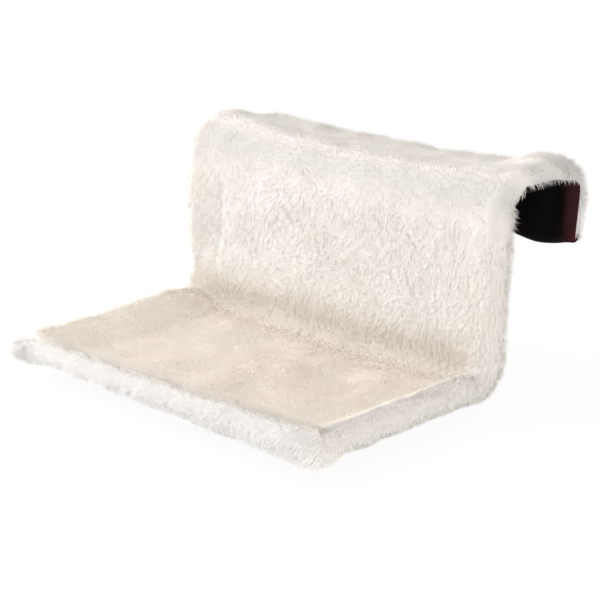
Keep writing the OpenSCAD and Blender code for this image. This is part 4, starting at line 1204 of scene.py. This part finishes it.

# %% [markdown]
# ## The velour of the linings
# Inside the hook hardly any light arrives, and the photograph is nearly black there except at the
# right end. So the velour's base colour carries painted shade: nearly black everything inside the
# hook, lifted again in streaks at the hook's open ends, where the light comes in. One mask finds
# the open ends and a second one everything inside it. Both only mix the base colour of a rough
# Principled shader, and a noise of the nap darkens it a little in patches elsewhere.

# %% Wine lining
WINE = (0.026, 0.0042, 0.0052)
LIT, SHADE_INSIDE_FACTOR = 1.5, 0.05  # the wine's brightness outside the painted shade, and under it deep inside
END_X, END_Y = (0.199 ** 2, 0.213 ** 2), (0.145, 0.165)  # where the painted shade lifts at the open ends: x squared, and y
DEEP = (0.235, 0.26)  # where the painted shade inside begins: y plus z
NAP_GAIN, NAP_LESS, NAP_SHADE = 2.2, 0.35, 0.45  # how strongly the nap streaks the open ends and shows elsewhere

wine, g = material("wine_lining")
spot, x, y, z = g.place()
nap = g.node("ShaderNodeTexNoise", None, {"Vector": spot, "Scale": 60.0, "Detail": 3.0})
# Painted shade: nearly black deep inside the hook, lifted in streaks at its open ends
open_end = g.ramp(x * x, *END_X) * g.ramp(y, *END_Y) * (nap * NAP_GAIN - NAP_LESS)
deep_in = (1.0 - open_end) * g.ramp(y + z, *DEEP)
shade = deep_in + nap * NAP_SHADE * (1.0 - deep_in)
velour = g.node("ShaderNodeBsdfPrincipled", None, {
    "Base Color": g.blended(shade, rgba(WINE, LIT), rgba(WINE, SHADE_INSIDE_FACTOR)),
    "Roughness": 0.9, "Specular IOR Level": 0.15})
g.node("ShaderNodeOutputMaterial", None, {"Surface": velour})
print(wine.name, len(g.tree.nodes), "nodes")


# %% [markdown]
# ## Metal, plastic and tape
# The cover hides the tubes and the screws, but anyone who takes the model apart will see them. One
# Principled shader each is enough: zinc-plated steel, brighter zinc on the screws, black plastic
# and black tape.

# %% Plain finishes
def plain(name, colour, rough, metal=0.0):
    made, g = material(name)
    surface = g.node("ShaderNodeBsdfPrincipled", None, {
        "Base Color": rgba(colour), "Roughness": rough, "Metallic": metal})
    g.node("ShaderNodeOutputMaterial", None, {"Surface": surface})
    return made


SLOTS = {
    "frame_steel": plain("steel", (0.55, 0.56, 0.57), 0.38, 1.0),
    "zinc": plain("zinc", (0.75, 0.76, 0.78), 0.3, 1.0),
    "black_plastic": plain("black_plastic", (0.02, 0.02, 0.022), 0.5),
    "tape": plain("tape", (0.012, 0.012, 0.013), 0.9),
    "cream_plush": cream, "beige_plush": beige, "wine_lining": wine, "wadding": cream,
}
print(len(SLOTS), "finishes")

# %% [markdown]
# ## Who wears what
# The record names a slot for each CAD piece, so those come straight from it. The dressed pieces
# are told apart by their names: the seat is beige, linings are wine, all the rest is cream.

# %% Materials on the pieces
for sub in frame["record"]["subparts"]:
    for slot in frame["nodes"][sub["node"]].material_slots:
        slot.material = SLOTS[sub["material_slot"]]

for obj in bpy.data.objects:
    if obj.type != "MESH" or obj.name in frame["nodes"] or obj.data.materials:
        continue
    if obj.name.startswith(("seat_plush", "seat_pile")):
        obj.data.materials.append(beige)
    else:
        obj.data.materials.append(wine if "lining" in obj.name else cream)
print("cream on", cream.users, "beige on", beige.users, "wine on", wine.users)

# %% [markdown]
# ## Floor and background
# The photograph is cut out on white. More light would whiten the background too, but it would burn
# out the plush. Instead the floor and the world are plainly white to the camera, by the Is Camera
# Ray output of Light Path, while the light that they throw on the object stays as it is. Close to
# the bed the floor keeps a twentieth of its true self, which is the bed's soft shadow.

# %% Floor
FLOOR_DROP = 0.02  # under the bed, so that the pile below the rolls gets some light
FLOOR_GREY = 0.93
SHADOW = 0.05  # how much of the shadow the camera sees near the bed
NEAR, CLEAR = 0.2, 0.85  # where the shadow starts to fade, and where none is left

bpy.ops.mesh.primitive_plane_add(size=12, location=(0, 0, -FLOOR_DROP))
floor = bpy.context.object
floor.name = "floor"
floor_white, g = material("floor")
ground = g.node("ShaderNodeBsdfPrincipled", None,
                {"Base Color": rgba((FLOOR_GREY,) * 3), "Roughness": 0.9})
glow = g.node("ShaderNodeEmission", None, {"Color": rgba((1, 1, 1)), "Strength": 1.0})
seen = g.node("ShaderNodeLightPath")
_, east, north, _ = g.place()
away = g.ramp(east * east + north * north, NEAR ** 2, CLEAR ** 2)
white_share = seen * ((1 - SHADOW) + SHADOW * away)
surface = g.node("ShaderNodeMixShader", None, {0: white_share, 1: ground, 2: glow})
g.node("ShaderNodeOutputMaterial", None, {"Surface": surface})
floor.data.materials.append(floor_white)
print("floor at", round(floor.location.z, 3))

# %% World
ROOM_LIGHT = 0.8

world_white = bpy.data.worlds.new("studio")
bpy.context.scene.world = world_white
g = Graph(world_white)
room = g.node("ShaderNodeBackground", None, {"Color": rgba((1, 1, 1)), "Strength": ROOM_LIGHT})
shown = g.node("ShaderNodeBackground", None, {"Color": rgba((1, 1, 1)), "Strength": 1.0})
sky = g.node("ShaderNodeMixShader", None,
             {0: g.node("ShaderNodeLightPath")["Is Camera Ray"], 1: room, 2: shown})
g.node("ShaderNodeOutputWorld", None, {"Surface": sky})
print("world strength", ROOM_LIGHT)

# %% [markdown]
# ## Lamps
# Pale plush shows form only by slow changes of light, so the lamps are large and close to each
# other in strength. The key comes low from the left and grazes the back, the top lamp rounds the
# crest off, and the fill keeps the right side from going grey.


# %% Key, top and fill
def lamp(name, place, size, power):
    """A square lamp that looks at the middle of the bed."""
    made = bpy.data.lights.new(name, "AREA")
    made.size, made.energy = size, power
    obj = bpy.data.objects.new(name, made)
    obj.location = place
    aim = Vector((0, 0, 0.1)) - Vector(place)
    obj.rotation_euler = aim.to_track_quat("-Z", "Y").to_euler()
    bpy.context.scene.collection.objects.link(obj)
    print(name, power, "W")


lamp("key", (-2.0, -1.2, 1.0), 1.8, 90)
lamp("top", (-0.7, -0.7, 2.1), 2.2, 25)
lamp("fill", (2.2, -1.2, 0.6), 1.8, 34)

# %% [markdown]
# ## Camera
# The camera was solved from the photograph together with the tubes' lines: it stands to the right
# of the front and a little above, far enough for a lens of about 92 mm. The focal length was found
# in pixels of the 600-pixel picture, and a sensor 36 mm wide turns it into millimetres.

# %% Camera
FOCAL_PX, PICTURE_PX, SENSOR = 1541.3, 600, 36
az, el, dist = math.radians(44.64), math.radians(17.06), 1.658
target = Vector((-0.0492, 0.0, 0.029)) + Vector((0, PLACE_Y, PLACE_Z)) / MM

camera = bpy.data.cameras.new("camera")
camera.lens = FOCAL_PX / PICTURE_PX * SENSOR
camera.sensor_width = SENSOR
eye = bpy.data.objects.new("camera", camera)
back = Vector((math.sin(az) * math.cos(el), -math.cos(az) * math.cos(el), math.sin(el)))
eye.location = target + back * dist
eye.rotation_euler = (-back).to_track_quat("-Z", "Y").to_euler()
bpy.context.scene.collection.objects.link(eye)
bpy.context.scene.camera = eye
bpy.context.scene.view_settings.view_transform = "Standard"
print("lens", round(camera.lens, 1), "mm")
